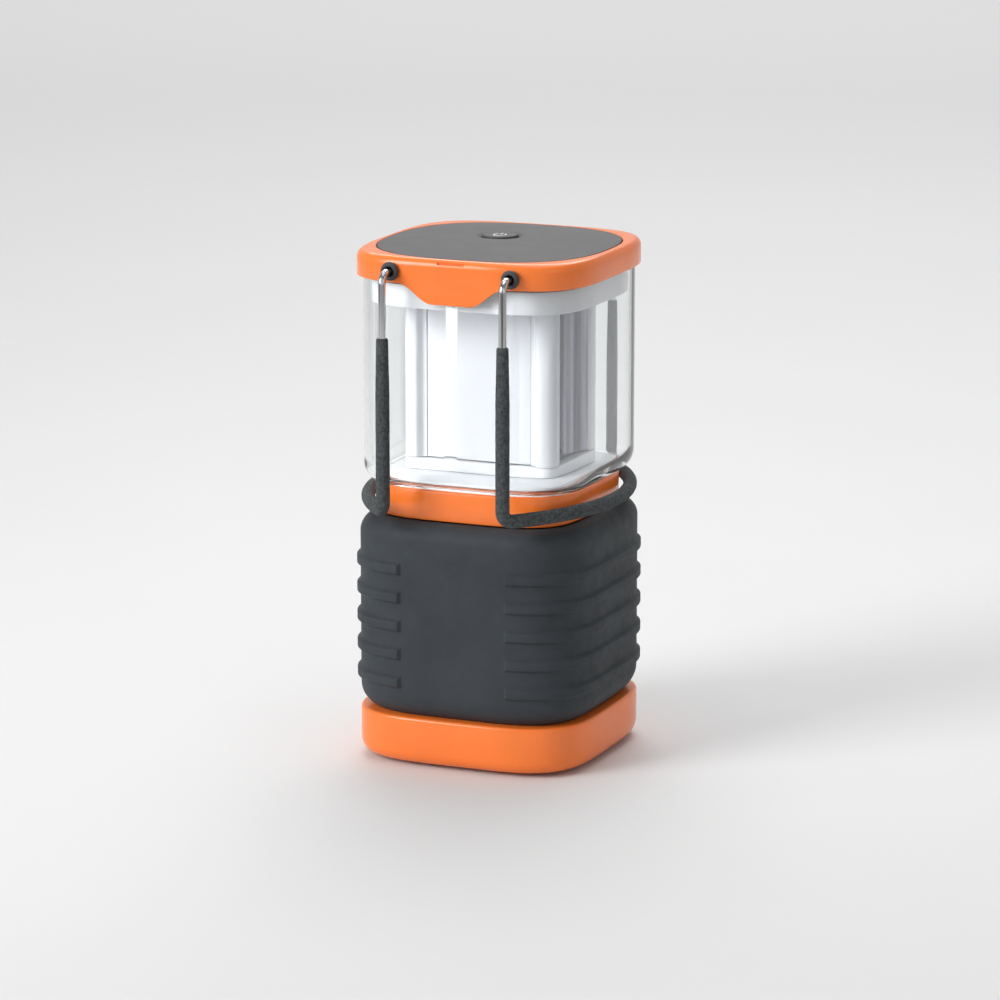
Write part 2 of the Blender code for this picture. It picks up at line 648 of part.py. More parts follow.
def battery_pack():
    """Cartridge with two cells, its own board and its sockets in the end plate."""
    pieces = [pack_case("pack_case_front", -1), pack_case("pack_case_back", 1)]

    # The board stands on edge between the cells, with a socket on each side of it
    board_half = BOARD_THICKNESS / 2
    charge_y = -(board_half + FIT + CHARGE_PORT[1] / 2)
    output_y = board_half + FIT + OUTPUT_PORT[1] / 2
    port_low = BASE_BOTTOM + 0.3 * MM

    end_low = BASE_BOTTOM + 0.1 * MM
    end = plate(
        "pack_end_plate", END_PLATE_HALF_X, END_PLATE_HALF_Y, PACK_CORNER, end_low, FLOOR_TOP, ORANGE_ABS
    )
    for name, size, y in (("charge_slot", CHARGE_PORT, charge_y), ("output_slot", OUTPUT_PORT, output_y)):
        low = (-size[0] / 2 - FIT, y - size[1] / 2 - FIT, end_low - 1 * MM)
        high = (size[0] / 2 + FIT, y + size[1] / 2 + FIT, FLOOR_TOP + 1 * MM)
        combine(end, block(name, low, high, None), "DIFFERENCE")
    light_x = OUTPUT_PORT[0] / 2 + 5 * MM
    hole = [(1.5 * MM + FIT, end_low - 1 * MM), (1.5 * MM + FIT, FLOOR_TOP + 1 * MM)]
    combine(end, turned("charge_light_hole", hole, None, 12, (light_x, charge_y)), "DIFFERENCE")
    pull = [
        round_box(9 * MM, 1.6 * MM, 1.5 * MM, end_low - 1 * MM, (0, -PACK_HALF_Y)),
        round_box(9 * MM, 1.6 * MM, 1.5 * MM, end_low + 1.2 * MM, (0, -PACK_HALF_Y)),
    ]
    combine(end, skin("pull_groove", pull, None), "DIFFERENCE")
    pieces.append(end)

    pieces.append(port("charge_port", CHARGE_PORT, 0.0, charge_y, port_low))
    pieces.append(port("output_port", OUTPUT_PORT, 0.0, output_y, port_low))
    light = [(1.5 * MM, end_low + 0.1 * MM), (1.5 * MM, FLOOR_TOP + 1.5 * MM)]
    pieces.append(turned("charge_light", light, RED_WIRE, 12, (light_x, charge_y)))

    for side, sign in (("left", -1), ("right", 1)):
        profile = [
            (CELL_RADIUS - 0.6 * MM, CELL_LOW),
            (CELL_RADIUS, CELL_LOW + 0.6 * MM),
            (CELL_RADIUS, CELL_HIGH - 2.0 * MM),
            (CELL_RADIUS - 0.8 * MM, CELL_HIGH - 1.2 * MM),
            (2.8 * MM, CELL_HIGH - 1.2 * MM),
            (2.8 * MM, CELL_HIGH),
        ]
        pieces.append(turned("cell_" + side, profile, CELL_WRAP, centre=(sign * CELL_SPACING / 2, 0.0)))

    gap_half = CELL_SPACING / 2 - CELL_RADIUS
    low = (-gap_half + 0.8 * MM, -board_half, FLOOR_TOP + 1 * MM)
    high = (gap_half - 0.8 * MM, board_half, PACK_TOP - PACK_WALL - 1 * MM)
    pieces.append(block("pack_board", low, high, GREEN_BOARD))

    for side, x in (("left", -6 * MM), ("right", 6 * MM)):
        pad_low = PACK_TOP + 0.1 * MM
        pieces.append(plate("pack_contact_" + side, 1.8 * MM, 1.8 * MM, 0.4 * MM, pad_low, pad_low + 0.6 * MM, BRASS, (x, 0)))

    hang_on(pieces, "battery_pack_axis", (0.0, 0.0, PACK_BOTTOM))


# ---- collar, tray and light column --------------------------------------------------------------


def collar():
    inner = COLLAR_HALF - COLLAR_WALL
    profile = [
        (COLLAR_HALF - 0.4 * MM, COLLAR_BOTTOM),
        (COLLAR_HALF, COLLAR_BOTTOM + 0.6 * MM),
        (COLLAR_HALF, COLLAR_TOP - LENS_SEAT - 0.3 * MM),
        (COLLAR_HALF - 0.3 * MM, COLLAR_TOP - LENS_SEAT),
        (COLLAR_HALF - 0.9 * MM, COLLAR_TOP - LENS_SEAT),
        (COLLAR_HALF - 0.9 * MM, COLLAR_TOP),
        (inner, COLLAR_TOP),
        (inner, COLLAR_BOTTOM),
    ]
    bowed_profile("collar", profile, ORANGE_ABS, open_middle=True)


def tray():
    half = COLLAR_HALF - 1.2 * MM
    rings = [
        bowed_square(half, TRAY_BOTTOM),
        bowed_square(half, TRAY_TOP - 0.5 * MM),
        bowed_square(half - 0.5 * MM, TRAY_TOP),
        circle(CABLE_HOLE, TRAY_TOP, PLAN_SIDES),
        circle(CABLE_HOLE, TRAY_BOTTOM, PLAN_SIDES),
    ]
    skin("tray", rings, WHITE, open_middle=True)


def plinth():
    edge = 0.5 * MM
    rings = [
        round_box(COLUMN_HALF_X, COLUMN_HALF_Y, POST_RADIUS, PLINTH_BOTTOM),
        round_box(COLUMN_HALF_X, COLUMN_HALF_Y, POST_RADIUS, PLINTH_TOP - edge),
        round_box(COLUMN_HALF_X - edge, COLUMN_HALF_Y - edge, POST_RADIUS - edge, PLINTH_TOP),
        round_box(15 * MM, 9 * MM, 3 * MM, PLINTH_TOP),
        round_box(15 * MM, 9 * MM, 3 * MM, PLINTH_BOTTOM),
    ]
    skin("plinth", rings, WHITE, open_middle=True)


def side_hollow(y):
    """Depth of the column's side face behind the posts: a shallow concave mirror."""
    open_half = COLUMN_HALF_Y - SIDE_POST
    return SIDE_RECESS - 2.6 * MM * (y / open_half) ** 2


def mirrored_outline(quarter):
    """A closed outline from its first quarter, listed from the +X side round to the +Y side."""
    upper = quarter + [(-x, y) for x, y in reversed(quarter)]
    lower = [(x, -y) for x, y in reversed(upper)]
    return upper + lower


def reflector_column():
    """Upright between plinth and top reflector: four round posts round the lamps and mirrors."""
    half_x, half_y = COLUMN_HALF_X, COLUMN_HALF_Y
    side_end = half_y - SIDE_POST
    quarter = []
    for share in (0.2, 0.6, 1.0):
        quarter.append((half_x - side_hollow(side_end * share), side_end * share))
    quarter.append((half_x - 0.8 * MM, side_end + 0.2 * MM))
    quarter.append((half_x, side_end + 1.2 * MM))
    for i in range(5):
        angle = math.pi / 2 * i / 4
        x = half_x - POST_RADIUS + POST_RADIUS * math.cos(angle)
        y = half_y - POST_RADIUS + POST_RADIUS * math.sin(angle)
        quarter.append((x, y))
    post_inner = half_x - POST_WIDTH
    quarter.append((post_inner, half_y - 0.8 * MM))
    quarter.append((post_inner - 1.2 * MM, half_y - PANEL_RECESS - 0.5 * MM))
    pocket = post_inner - VALLEY_WIDTH + FIT
    quarter.append((pocket, half_y - PANEL_RECESS - 0.5 * MM))
    quarter.append((pocket, half_y - LAMP_DEPTH))
    made = upright_sheet("reflector_column", mirrored_outline(quarter), COLUMN_BOTTOM, COLUMN_TOP, WHITE)
    room_x = half_x - SIDE_RECESS - 2.0 * MM
    room_y = half_y - LAMP_DEPTH - 1.6 * MM
    room = block(
        "column_room",
        (-room_x, -room_y, COLUMN_BOTTOM - 5 * MM),
        (room_x, room_y, COLUMN_TOP + 5 * MM),
        None,
    )
    combine(made, room, "DIFFERENCE")


def lamps():
    """On the front and the back: a diffuser panel over a board with two LEDs."""
    panel_half = COLUMN_HALF_X - POST_WIDTH - VALLEY_WIDTH
    board_half = panel_half - 3 * MM
    middle = (COLUMN_BOTTOM + COLUMN_TOP) / 2
    led_rise = (COLUMN_TOP - COLUMN_BOTTOM) / 4
    for face, sign in (("front", -1), ("back", 1)):
        outer = COLUMN_HALF_Y - PANEL_RECESS
        inner = outer - PANEL_THICKNESS
        bow = 0.5 * MM
        outline = [
            (-panel_half, sign * inner),
            (panel_half, sign * inner),
            (panel_half, sign * (outer - bow)),
            (panel_half * 0.5, sign * outer),
            (-panel_half * 0.5, sign * outer),
            (-panel_half, sign * (outer - bow)),
        ]
        upright_sheet("diffuser_" + face, outline, COLUMN_BOTTOM + FIT, COLUMN_TOP - FIT, DIFFUSER)
        board_back = COLUMN_HALF_Y - LAMP_DEPTH + FIT
        board_front = board_back + BOARD_THICKNESS
        low = (-board_half, min(sign * board_back, sign * board_front), COLUMN_BOTTOM + 3 * MM)
        high = (board_half, max(sign * board_back, sign * board_front), COLUMN_TOP - 3 * MM)
        block("led_board_" + face, low, high, WHITE_BOARD)
        led_back = board_front + 0.1 * MM
        led_front = led_back + LED_THICKNESS
        for place, z in (("lower", middle - led_rise), ("upper", middle + led_rise)):
            low = (-LED_SIZE / 2, min(sign * led_back, sign * led_front), z - LED_SIZE / 2)
            high = (LED_SIZE / 2, max(sign * led_back, sign * led_front), z + LED_SIZE / 2)
            block("led_" + face + "_" + place, low, high, PHOSPHOR)


def mirrors():
    """Concave mirrored sheets in the column's narrow sides."""
    side_end = COLUMN_HALF_Y - SIDE_POST - FIT
    for side, sign in (("left", -1), ("right", 1)):
        outline = []
        for i in range(9):
            y = side_end * (i / 4 - 1)
            outline.append((sign * (COLUMN_HALF_X - side_hollow(y) + FIT + MIRROR_THICKNESS), y))
        for i in range(9):
            y = side_end * (1 - i / 4)
            outline.append((sign * (COLUMN_HALF_X - side_hollow(y) + FIT), y))
        upright_sheet("mirror_" + side, outline, COLUMN_BOTTOM + FIT, COLUMN_TOP - FIT, MIRROR)


def top_reflector():
    """White skirt inside the top of the lens, with the switch board's cable hole in the middle."""
    outer = LENS_INNER - 0.8 * MM
    skirt_bottom = CAP_RIM - REFLECTOR_DROP
    rings = [
        bowed_square(outer, skirt_bottom + 0.5 * MM),
        bowed_square(outer, CEILING_TOP),
        circle(CABLE_HOLE, CEILING_TOP, PLAN_SIDES),
        circle(CABLE_HOLE, CEILING_BOTTOM, PLAN_SIDES),
        bowed_square(outer - 4.0 * MM, CEILING_BOTTOM),
        bowed_square(outer - REFLECTOR_WALL - 0.3 * MM, CEILING_BOTTOM - 3.0 * MM),
        bowed_square(outer - REFLECTOR_WALL, skirt_bottom),
        bowed_square(outer - 0.5 * MM, skirt_bottom),
    ]
    skin("top_reflector", rings, WHITE, open_middle=True)


def lens():
    """Clear window, curving in at the bottom to sit on the collar's shoulder."""
    radius = LENS_HALF - COLLAR_HALF - 0.2 * MM
    rise = radius * 1.45
    outer = []
    inner = []
    for i in range(5):
        angle = math.pi / 2 * i / 4
        outer.append((LENS_HALF - radius * (1 - math.sin(angle)), LENS_BOTTOM + 0.3 * MM + rise * (1 - math.cos(angle))))
    inner_start = COLLAR_HALF - 0.9 * MM + FIT
    inner_radius = LENS_INNER - inner_start
    for i in range(4):
        angle = math.pi / 2 * (1 - i / 3)
        inner.append((LENS_INNER - inner_radius * (1 - math.sin(angle)), LENS_BOTTOM + 2.4 * MM + rise * (1 - math.cos(angle))))
    profile = outer + [(LENS_HALF, LENS_TOP), (LENS_INNER, LENS_TOP)]
    profile += inner
    profile += [(inner_start, LENS_BOTTOM), (COLLAR_HALF - 0.1 * MM, LENS_BOTTOM)]
    bowed_profile("lens", profile, CLEAR, open_middle=True)


# ---- cap, button and switch ---------------------------------------------------------------------


def cap():
    """Orange cap over the lens, with a deck for the top plate, pivot holes and two hanging tabs."""
    groove = LENS_HALF + FIT
    above_lens = LENS_TOP + FIT
    inner = LENS_INNER - 0.4 * MM
    rings = [
        bowed_square(groove, CAP_RIM),
        bowed_square(CAP_HALF - 0.5 * MM, CAP_RIM),
        bowed_square(CAP_HALF, CAP_RIM + 0.5 * MM),
        bowed_square(CAP_HALF, CAP_TOP - 3.0 * MM),
        bowed_square(CAP_HALF - 0.5 * MM, CAP_TOP - 1.3 * MM),
        bowed_square(CAP_HALF - 2.0 * MM, CAP_TOP),
        bowed_square(PLATE_HALF + FIT, CAP_TOP, PLATE_POWER),
        bowed_square(PLATE_HALF + FIT, DECK_TOP, PLATE_POWER),
        circle(STEM_RADIUS + FIT, DECK_TOP, PLAN_SIDES),
        circle(STEM_RADIUS + FIT, DECK_BOTTOM, PLAN_SIDES),
        bowed_square(inner, DECK_BOTTOM),
        bowed_square(inner, above_lens),
        bowed_square(groove, above_lens),
    ]
    made = skin("cap", rings, ORANGE_ABS, open_middle=True)
    for face, sign in (("front", -1), ("back", 1)):
        low = CAP_RIM - TAB_DROP
        edge = 1.6 * MM
        half = [
            (TAB_FOOT_HALF - edge, low),
            (TAB_FOOT_HALF + 0.4 * edge, low + 0.35 * edge),
            (TAB_FOOT_HALF + TAB_SLOPE - 0.4 * edge, low + 4.7 * MM - 0.8 * edge),
            (TAB_FOOT_HALF + TAB_SLOPE + 0.3 * MM, low + 4.7 * MM),
            (TAB_TOP_HALF, CAP_RIM + 0.6 * MM),
            (TAB_TOP_HALF, CAP_RIM + 2.0 * MM),
        ]
        outline = half + [(-x, z) for x, z in reversed(half)]
        near = sign * (LENS_HALF + FIT + 0.1 * MM)
        far = sign * (CAP_HALF - 0.15 * MM)
        rings = [[Vector((x, y, z)) for x, z in outline] for y in (near, far)]
        combine(made, skin("cap_tab_" + face, rings, None), "UNION")
        notch_low = (-5.5 * MM, min(sign * (CAP_HALF - 1.2 * MM), sign * (CAP_HALF + 3 * MM)), CAP_TOP - 2.0 * MM)
        notch_high = (5.5 * MM, max(sign * (CAP_HALF - 1.2 * MM), sign * (CAP_HALF + 3 * MM)), CAP_TOP - 0.8 * MM)
        combine(made, block("cap_notch_" + face, notch_low, notch_high, None), "DIFFERENCE")
    for corner, x, y in corners(PIVOT_X, 1.0):
        face = bowed_y(CAP_HALF, PIVOT_X)
        hole = [(BUSH_RADIUS + FIT, y * (face - BUSH_DEPTH - FIT)), (BUSH_RADIUS + FIT, y * (face + 3 * MM))]
        combine(made, turned_along_y("pivot_hole_" + corner, hole, None, 16, x, PIVOT_Z), "DIFFERENCE")


def bowed_y(half, x, power=BODY_POWER):
    """Distance of the plan outline's front or back from the middle at one x."""
    return (half**power - abs(x) ** power) ** (1 / power)


def pivot_bushes():
    """Flanged bushes in the cap's front and back that the handle wires turn in."""
    face = bowed_y(CAP_HALF, PIVOT_X)
    flange = bowed_y(CAP_HALF, PIVOT_X - BUSH_FLANGE) + FIT
    for corner, x, y in corners(PIVOT_X, 1.0):
        bore = WIRE_RADIUS + 0.45 * MM
        profile = [
            (BUSH_RADIUS, y * (face - BUSH_DEPTH)),
            (BUSH_RADIUS, y * flange),
            (BUSH_FLANGE, y * flange),
            (BUSH_FLANGE, y * (flange + 1.0 * MM)),
            (BUSH_FLANGE - 0.6 * MM, y * (flange + 1.8 * MM)),
            (bore, y * (flange + 1.8 * MM)),
            (bore, y * (face - BUSH_DEPTH)),
        ]
        turned_along_y("pivot_bush_" + corner, profile, DARK_ABS, 12, x, PIVOT_Z, open_middle=True)


def top_plate():
    """Dark domed plate in the cap's recess, with a round well for the power button."""
    well = BUTTON_RADIUS + FIT
    rings = [
        bowed_square(PLATE_HALF, DECK_TOP + FIT, PLATE_POWER),
        bowed_square(PLATE_HALF, CAP_TOP - 0.3 * MM, PLATE_POWER),
        bowed_square(PLATE_HALF - 1.4 * MM, CAP_TOP + CROWN * 0.3, PLATE_POWER),
        bowed_square(PLATE_HALF * 0.62, CAP_TOP + CROWN * 0.8, PLATE_POWER * 0.9),
        circle(PLATE_HALF * 0.33, PLATE_CROWN, PLAN_SIDES),
        circle(well + 0.5 * MM, PLATE_CROWN, PLAN_SIDES),
        circle(well, PLATE_CROWN - 0.5 * MM, PLAN_SIDES),
        circle(well, DECK_TOP + FIT, PLAN_SIDES),
    ]
    skin("top_plate", rings, DARK_ABS, open_middle=True)


def power_button():
    """Round button in the top plate on a spring, over a small push switch."""
    top = PLATE_CROWN + BUTTON_PROUD
    seat = PLATE_CROWN - 2.2 * MM
    switch_top = CEILING_TOP + FIT + BOARD_THICKNESS + FIT + 2.6 * MM
    stem_low = switch_top + BUTTON_TRAVEL + 0.2 * MM
    profile = [
        (STEM_RADIUS - 0.3 * MM, stem_low),
        (STEM_RADIUS, stem_low + 0.3 * MM),
        (STEM_RADIUS, seat),
        (BUTTON_RADIUS, seat),
        (BUTTON_RADIUS, top - 0.7 * MM),
        (BUTTON_RADIUS - 0.7 * MM, top),
        (BUTTON_RADIUS * 0.5, top - 0.35 * MM),
    ]
    button = turned("power_button", profile, DARK_ABS, 24)

    low = DECK_TOP + SPRING_WIRE + 0.1 * MM
    high = seat - SPRING_WIRE - 0.1 * MM
    count = 25
    path = []
    for i in range(count):
        share = i / (count - 1)
        angle = 2 * math.pi * SPRING_TURNS * share
        z = low + (high - low) * share
        path.append(Vector((SPRING_RADIUS * math.cos(angle), SPRING_RADIUS * math.sin(angle), z)))
    spring = swept("button_spring", path, [(i, SPRING_WIRE) for i in range(count)], STEEL, sides=5)
    hang_on([button, spring], "power_button_axis", (0.0, 0.0, seat))

    board_low = CEILING_TOP + FIT
    board_high = board_low + BOARD_THICKNESS
    plate("switch_board", 17 * MM, 14 * MM, 2 * MM, board_low, board_high, GREEN_BOARD)
    body = [
        (-3 * MM, -3 * MM, board_high + FIT),
        (3 * MM, 3 * MM, switch_top - 0.8 * MM),
    ]
    switch = block("tact_switch", *body, BLACK_ABS)
    plunger = [(1.6 * MM, switch_top - 1.4 * MM), (1.6 * MM, switch_top)]
    combine(switch, turned("switch_plunger", plunger, None, 12), "UNION")


def cables():
    """Two wires from the bay's contacts up to the switch board."""
    low = BAY_TOP + FIT + BOARD_THICKNESS + 0.3 * MM
    high = CEILING_TOP + FIT - 0.3 * MM
    for colour, x, look in (("red", -4 * MM, RED_WIRE), ("black", 4 * MM, BLACK_WIRE)):
        path = []
        for share in (0.0, 0.08, 0.2, 0.4, 0.6, 0.8, 0.92, 1.0):
            sway = 3.0 * MM * math.sin(share * 2 * math.pi)
            path.append(Vector((x, sway, low + (high - low) * share)))
        sections = [(i, 0.9 * MM) for i in range(len(path))]
        swept("cable_" + colour, path, sections, look, sides=6)


# ---- handles ------------------------------------------------------------------------------------


def handle_path(sign):
    """Wire centre line from the front pivot to the back one, and where the grip starts and ends."""
    face = bowed_y(CAP_HALF, PIVOT_X)
    arm_x, arm_y = PIVOT_X, ARM_Y
    centre_x = (BAR_X**2 - arm_x**2 - arm_y**2) / (2 * (BAR_X - arm_x))
    radius = BAR_X - centre_x
    sweep = math.asin(arm_y / radius)
    bar = []
    bar_steps = 14
    for i in range(bar_steps + 1):
        angle = sweep * (2 * i / bar_steps - 1)
        bar.append(Vector((sign * (centre_x + radius * math.cos(angle)), radius * math.sin(angle), BAR_Z)))
    front_end = Vector((sign * arm_x, -(face - BUSH_DEPTH + 0.2 * MM), PIVOT_Z))
    front_top = Vector((sign * arm_x, -arm_y, PIVOT_Z))
    back_top = Vector((sign * arm_x, arm_y, PIVOT_Z))
    back_end = Vector((sign * arm_x, face - BUSH_DEPTH + 0.2 * MM, PIVOT_Z))
    path = [front_end]
    path += bend(front_end, front_top, bar[0], WIRE_BEND)
    start = len(path)
    path.append(Vector((sign * arm_x, -arm_y, GRIP_TOP)))
    path.append(Vector((sign * arm_x, -arm_y, GRIP_TOP - 1.0 * MM)))
    path += bend(front_top, bar[0], bar[1], WIRE_BEND)
    path += bar[2:-2] if (bar[1] - bar[0]).length < WIRE_BEND * 1.2 else bar[1:-1]
    path += bend(bar[-2], bar[-1], back_top, WIRE_BEND)
    path.append(Vector((sign * arm_x, arm_y, GRIP_TOP - 1.0 * MM)))
    end = len(path)
    path.append(Vector((sign * arm_x, arm_y, GRIP_TOP)))
    path += bend(bar[-1], back_top, back_end, WIRE_BEND)
    path.append(back_end)
    return path, start, end


def handles():
    for side, sign in (("left", -1), ("right", 1)):
        path, start, end = handle_path(sign)
        wire = swept(side + "_bail_wire", path, [(i, WIRE_RADIUS) for i in range(len(path))], STEEL)
        outer = [(i, GRIP_RADIUS) for i in range(start, end + 1)]
        outer[0] = (start, GRIP_END_RADIUS)
        outer[-1] = (end, GRIP_END_RADIUS)
        inner = [(i, WIRE_RADIUS + 0.35 * MM) for i in range(end, start - 1, -1)]
        grip = swept(side + "_foam_grip", path, outer + inner, FOAM, open_middle=True)
        hang_on([wire, grip], side + "_handle_axis", (sign * PIVOT_X, 0.0, PIVOT_Z))


# ---- build --------------------------------------------------------------------------------------


def main():
    for thing in list(bpy.data.objects):
        bpy.data.objects.remove(thing, do_unlink=True)
    base_ring()
    feet()
    base_screws()
    battery_housing()
    grip_sleeve()
    battery_bay()
    contact_board()
    battery_pack()
    collar()
    tray()
    plinth()
    reflector_column()
    lamps()
    mirrors()
    top_reflector()
    lens()
    cap()
    pivot_bushes()
    top_plate()
    power_button()
    cables()
    handles()


main()
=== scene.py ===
"""Looks of a rechargeable camping lantern: clear lens, ribbed rubber grip, two wire handles."""

import json
import math

import bmesh
import bpy
from bpy.props import FloatProperty, FloatVectorProperty, IntProperty, PointerProperty
from mathutils import Matrix, Vector


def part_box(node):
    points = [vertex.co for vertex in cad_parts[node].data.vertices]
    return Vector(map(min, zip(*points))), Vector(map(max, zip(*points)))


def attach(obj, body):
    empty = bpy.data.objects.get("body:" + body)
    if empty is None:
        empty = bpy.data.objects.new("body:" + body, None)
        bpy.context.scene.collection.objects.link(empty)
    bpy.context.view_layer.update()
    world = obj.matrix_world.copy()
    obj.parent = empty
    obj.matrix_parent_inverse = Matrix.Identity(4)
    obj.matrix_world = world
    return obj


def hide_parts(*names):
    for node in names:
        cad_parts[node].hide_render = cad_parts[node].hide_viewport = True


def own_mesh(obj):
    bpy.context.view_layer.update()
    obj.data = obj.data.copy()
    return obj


bl_info = {
    "name": "Camping Lantern",
    "version": (1, 0, 0),
    "blender": (4, 5, 0),
    "location": "View3D > Sidebar > Lantern",
    "description": "Builds the visible surfaces of a rechargeable camping lantern over its solid model",
    "category": "Add Mesh",
}

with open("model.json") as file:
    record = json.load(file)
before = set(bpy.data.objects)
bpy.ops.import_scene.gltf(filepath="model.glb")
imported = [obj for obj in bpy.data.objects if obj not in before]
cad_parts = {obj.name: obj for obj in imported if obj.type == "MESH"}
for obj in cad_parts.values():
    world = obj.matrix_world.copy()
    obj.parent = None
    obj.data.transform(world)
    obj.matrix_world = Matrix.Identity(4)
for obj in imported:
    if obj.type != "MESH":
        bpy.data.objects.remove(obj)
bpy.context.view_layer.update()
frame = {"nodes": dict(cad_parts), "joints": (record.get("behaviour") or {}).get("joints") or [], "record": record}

MM = 0.001
ROUND = 2.0  # outline power of a plain circle
BOWED = 4.0  # outline power of the body's bowed square
PLATE = 2.6  # outline power of the rounder top plate
SAME = 1e-6  # points nearer than this, in metres, count as one
CORNERS = ("front_left", "front_right", "back_left", "back_right")


def low(node):
    """The lowest corner of a solid node's box."""
    return Vector(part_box(node)[0])


def high(node):
    """The highest corner of a solid node's box."""
    return Vector(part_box(node)[1])


def middle_of(node):
    return (low(node) + high(node)) / 2


def joint_named(name):
    return next(joint for joint in frame["joints"] if joint["name"] == name)


# ---- settings -------------------------------------------------------------------------------------


def length(name, description, default):
    return FloatProperty(name=name, description=description, default=default, unit="LENGTH", precision=4)


def colour(name, description, default):
    return FloatVectorProperty(
        name=name, description=description, default=default, subtype="COLOR", size=3, min=0, max=1
    )


class LanternSizes(bpy.types.PropertyGroup):
    """Sizes that shape the visible surfaces."""

    sides: IntProperty(name="Outline sides", description="Faces round each bowed outline", default=176)
    rib_proud: length("Rib height", "How far a grip rib stands out of the sleeve", 1.4 * MM)
    rib_flank: length("Rib flank", "Width of the slope round a grip rib", 1.0 * MM)
    rib_height: length("Rib width", "Height of one grip rib on the sleeve", 5.1 * MM)
    label_half: length("Plain panel half width", "Half the width of the plain front and back panels", 21.5 * MM)
    shoulder: length("Shoulder radius", "Rounding at the top of the sleeve", 7.5 * MM)
    skirt_inset: length("Skirt inset", "How far the sleeve draws in at its bottom edge", 4.7 * MM)
    skirt_rise: length("Skirt height", "Height over which the sleeve draws in", 9.7 * MM)
    wire_radius: length("Wire radius", "Radius of the handle wire", 1.5 * MM)
    foam_radius: length("Foam radius", "Radius of the foam grip", 2.75 * MM)
    wire_bend: length("Bend radius", "Centre-line radius of the handle's corners", 4.0 * MM)
    post_radius: length("Post radius", "Rounding of the light column's posts", 5.0 * MM)
    post_width: length("Post width", "Width of a post on the column's front", 6.2 * MM)
    tab_drop: length("Tab drop", "How far the cap's tab hangs below its rim", 7.2 * MM)


class LanternColours(bpy.types.PropertyGroup):
    """Colours of the finishes."""

    orange: colour("Orange", "Glossy orange plastic", (0.88, 0.19, 0.03))
    rubber: colour("Rubber", "Charcoal rubber of the grip", (0.030, 0.036, 0.042))
    foam: colour("Foam", "Charcoal foam of the handles", (0.060, 0.066, 0.069))
    charcoal: colour("Charcoal plastic", "Top plate and button", (0.040, 0.039, 0.042))
    black: colour("Black plastic", "Inner mouldings and battery pack", (0.018, 0.018, 0.020))
    white: colour("White plastic", "Light column and reflectors", (0.80, 0.81, 0.835))
    milky: colour("Diffuser", "Milky diffuser panels", (0.80, 0.81, 0.845))
    floor: colour("Floor", "Pale studio floor", (0.68, 0.68, 0.68))


def sizes():
    return bpy.context.scene.lantern_sizes


def colours():
    return bpy.context.scene.lantern_colours


# ---- modelling helpers ----------------------------------------------------------------------------


def only(piece):
    """Selects one object alone and makes it active."""
    bpy.ops.object.select_all(action="DESELECT")
    piece.select_set(True)
    bpy.context.view_layer.objects.active = piece


def quarter_turn(steps, first=0):
    """The sine and cosine of evenly spaced angles over a quarter turn."""
    angles = [math.pi / 2 * i / steps for i in range(first, steps + 1)]
    return [(math.sin(angle), math.cos(angle)) for angle in angles]


def reach(half, angle, power):
    """Distance from the middle to a bowed outline in one direction."""
    return half / (abs(math.cos(angle)) ** power + abs(math.sin(angle)) ** power) ** (1 / power)


def place_ring(piece, half, height, power):
    """Moves the selected loop onto one level outline, each point keeping its direction."""
    mesh = bmesh.from_edit_mesh(piece.data)
    for point in mesh.verts:
        if point.select:
            angle = math.atan2(point.co.y, point.co.x)
            distance = reach(half, angle, power)
            point.co = (distance * math.cos(angle), distance * math.sin(angle), height)
    bmesh.update_edit_mesh(piece.data)


def start_loop(name, count):
    """An open circle in edit mode, all selected."""
    bpy.ops.object.select_all(action="DESELECT")
    bpy.ops.mesh.primitive_circle_add(vertices=count, radius=1.0)
    piece = bpy.context.object
    piece.name = name
    bpy.ops.object.mode_set(mode="EDIT")
    bpy.ops.mesh.select_mode(type="EDGE")
    bpy.ops.mesh.select_all(action="SELECT")
    return piece


def close_up(hollow):
    """Joins the first loop to the last, or fills both."""
    bpy.ops.mesh.select_all(action="DESELECT")
    bpy.ops.mesh.select_non_manifold()
    if hollow:
        bpy.ops.mesh.bridge_edge_loops()
    else:
        bpy.ops.mesh.fill_holes(sides=0)
    bpy.ops.mesh.select_all(action="SELECT")
    bpy.ops.mesh.normals_make_consistent(inside=False)
    bpy.ops.mesh.select_all(action="DESELECT")


def drawn_up(name, rows, hollow=False, count=None, snap=None):
    """A piece extruded from one loop, row by row. A row is (half width, height, outline power)."""
    piece = start_loop(name, count or sizes().sides)
    if snap is not None:
        turn_to(piece, snap)
    place_ring(piece, *rows[0])
    for row in rows[1:]:
        bpy.ops.mesh.extrude_edges_move(TRANSFORM_OT_translate={"value": (0, 0, MM)})
        place_ring(piece, *row)
    close_up(hollow)
    bpy.ops.object.mode_set(mode="OBJECT")
    return piece


def turn_to(piece, angles):
    """Turns the point nearest to each angle exactly onto it."""
    mesh = bmesh.from_edit_mesh(piece.data)
    for angle in angles:
        direction = Vector((math.cos(angle), math.sin(angle), 0))
        nearest = max(mesh.verts, key=lambda point: point.co.dot(direction))
        nearest.co = direction
    bmesh.update_edit_mesh(piece.data)


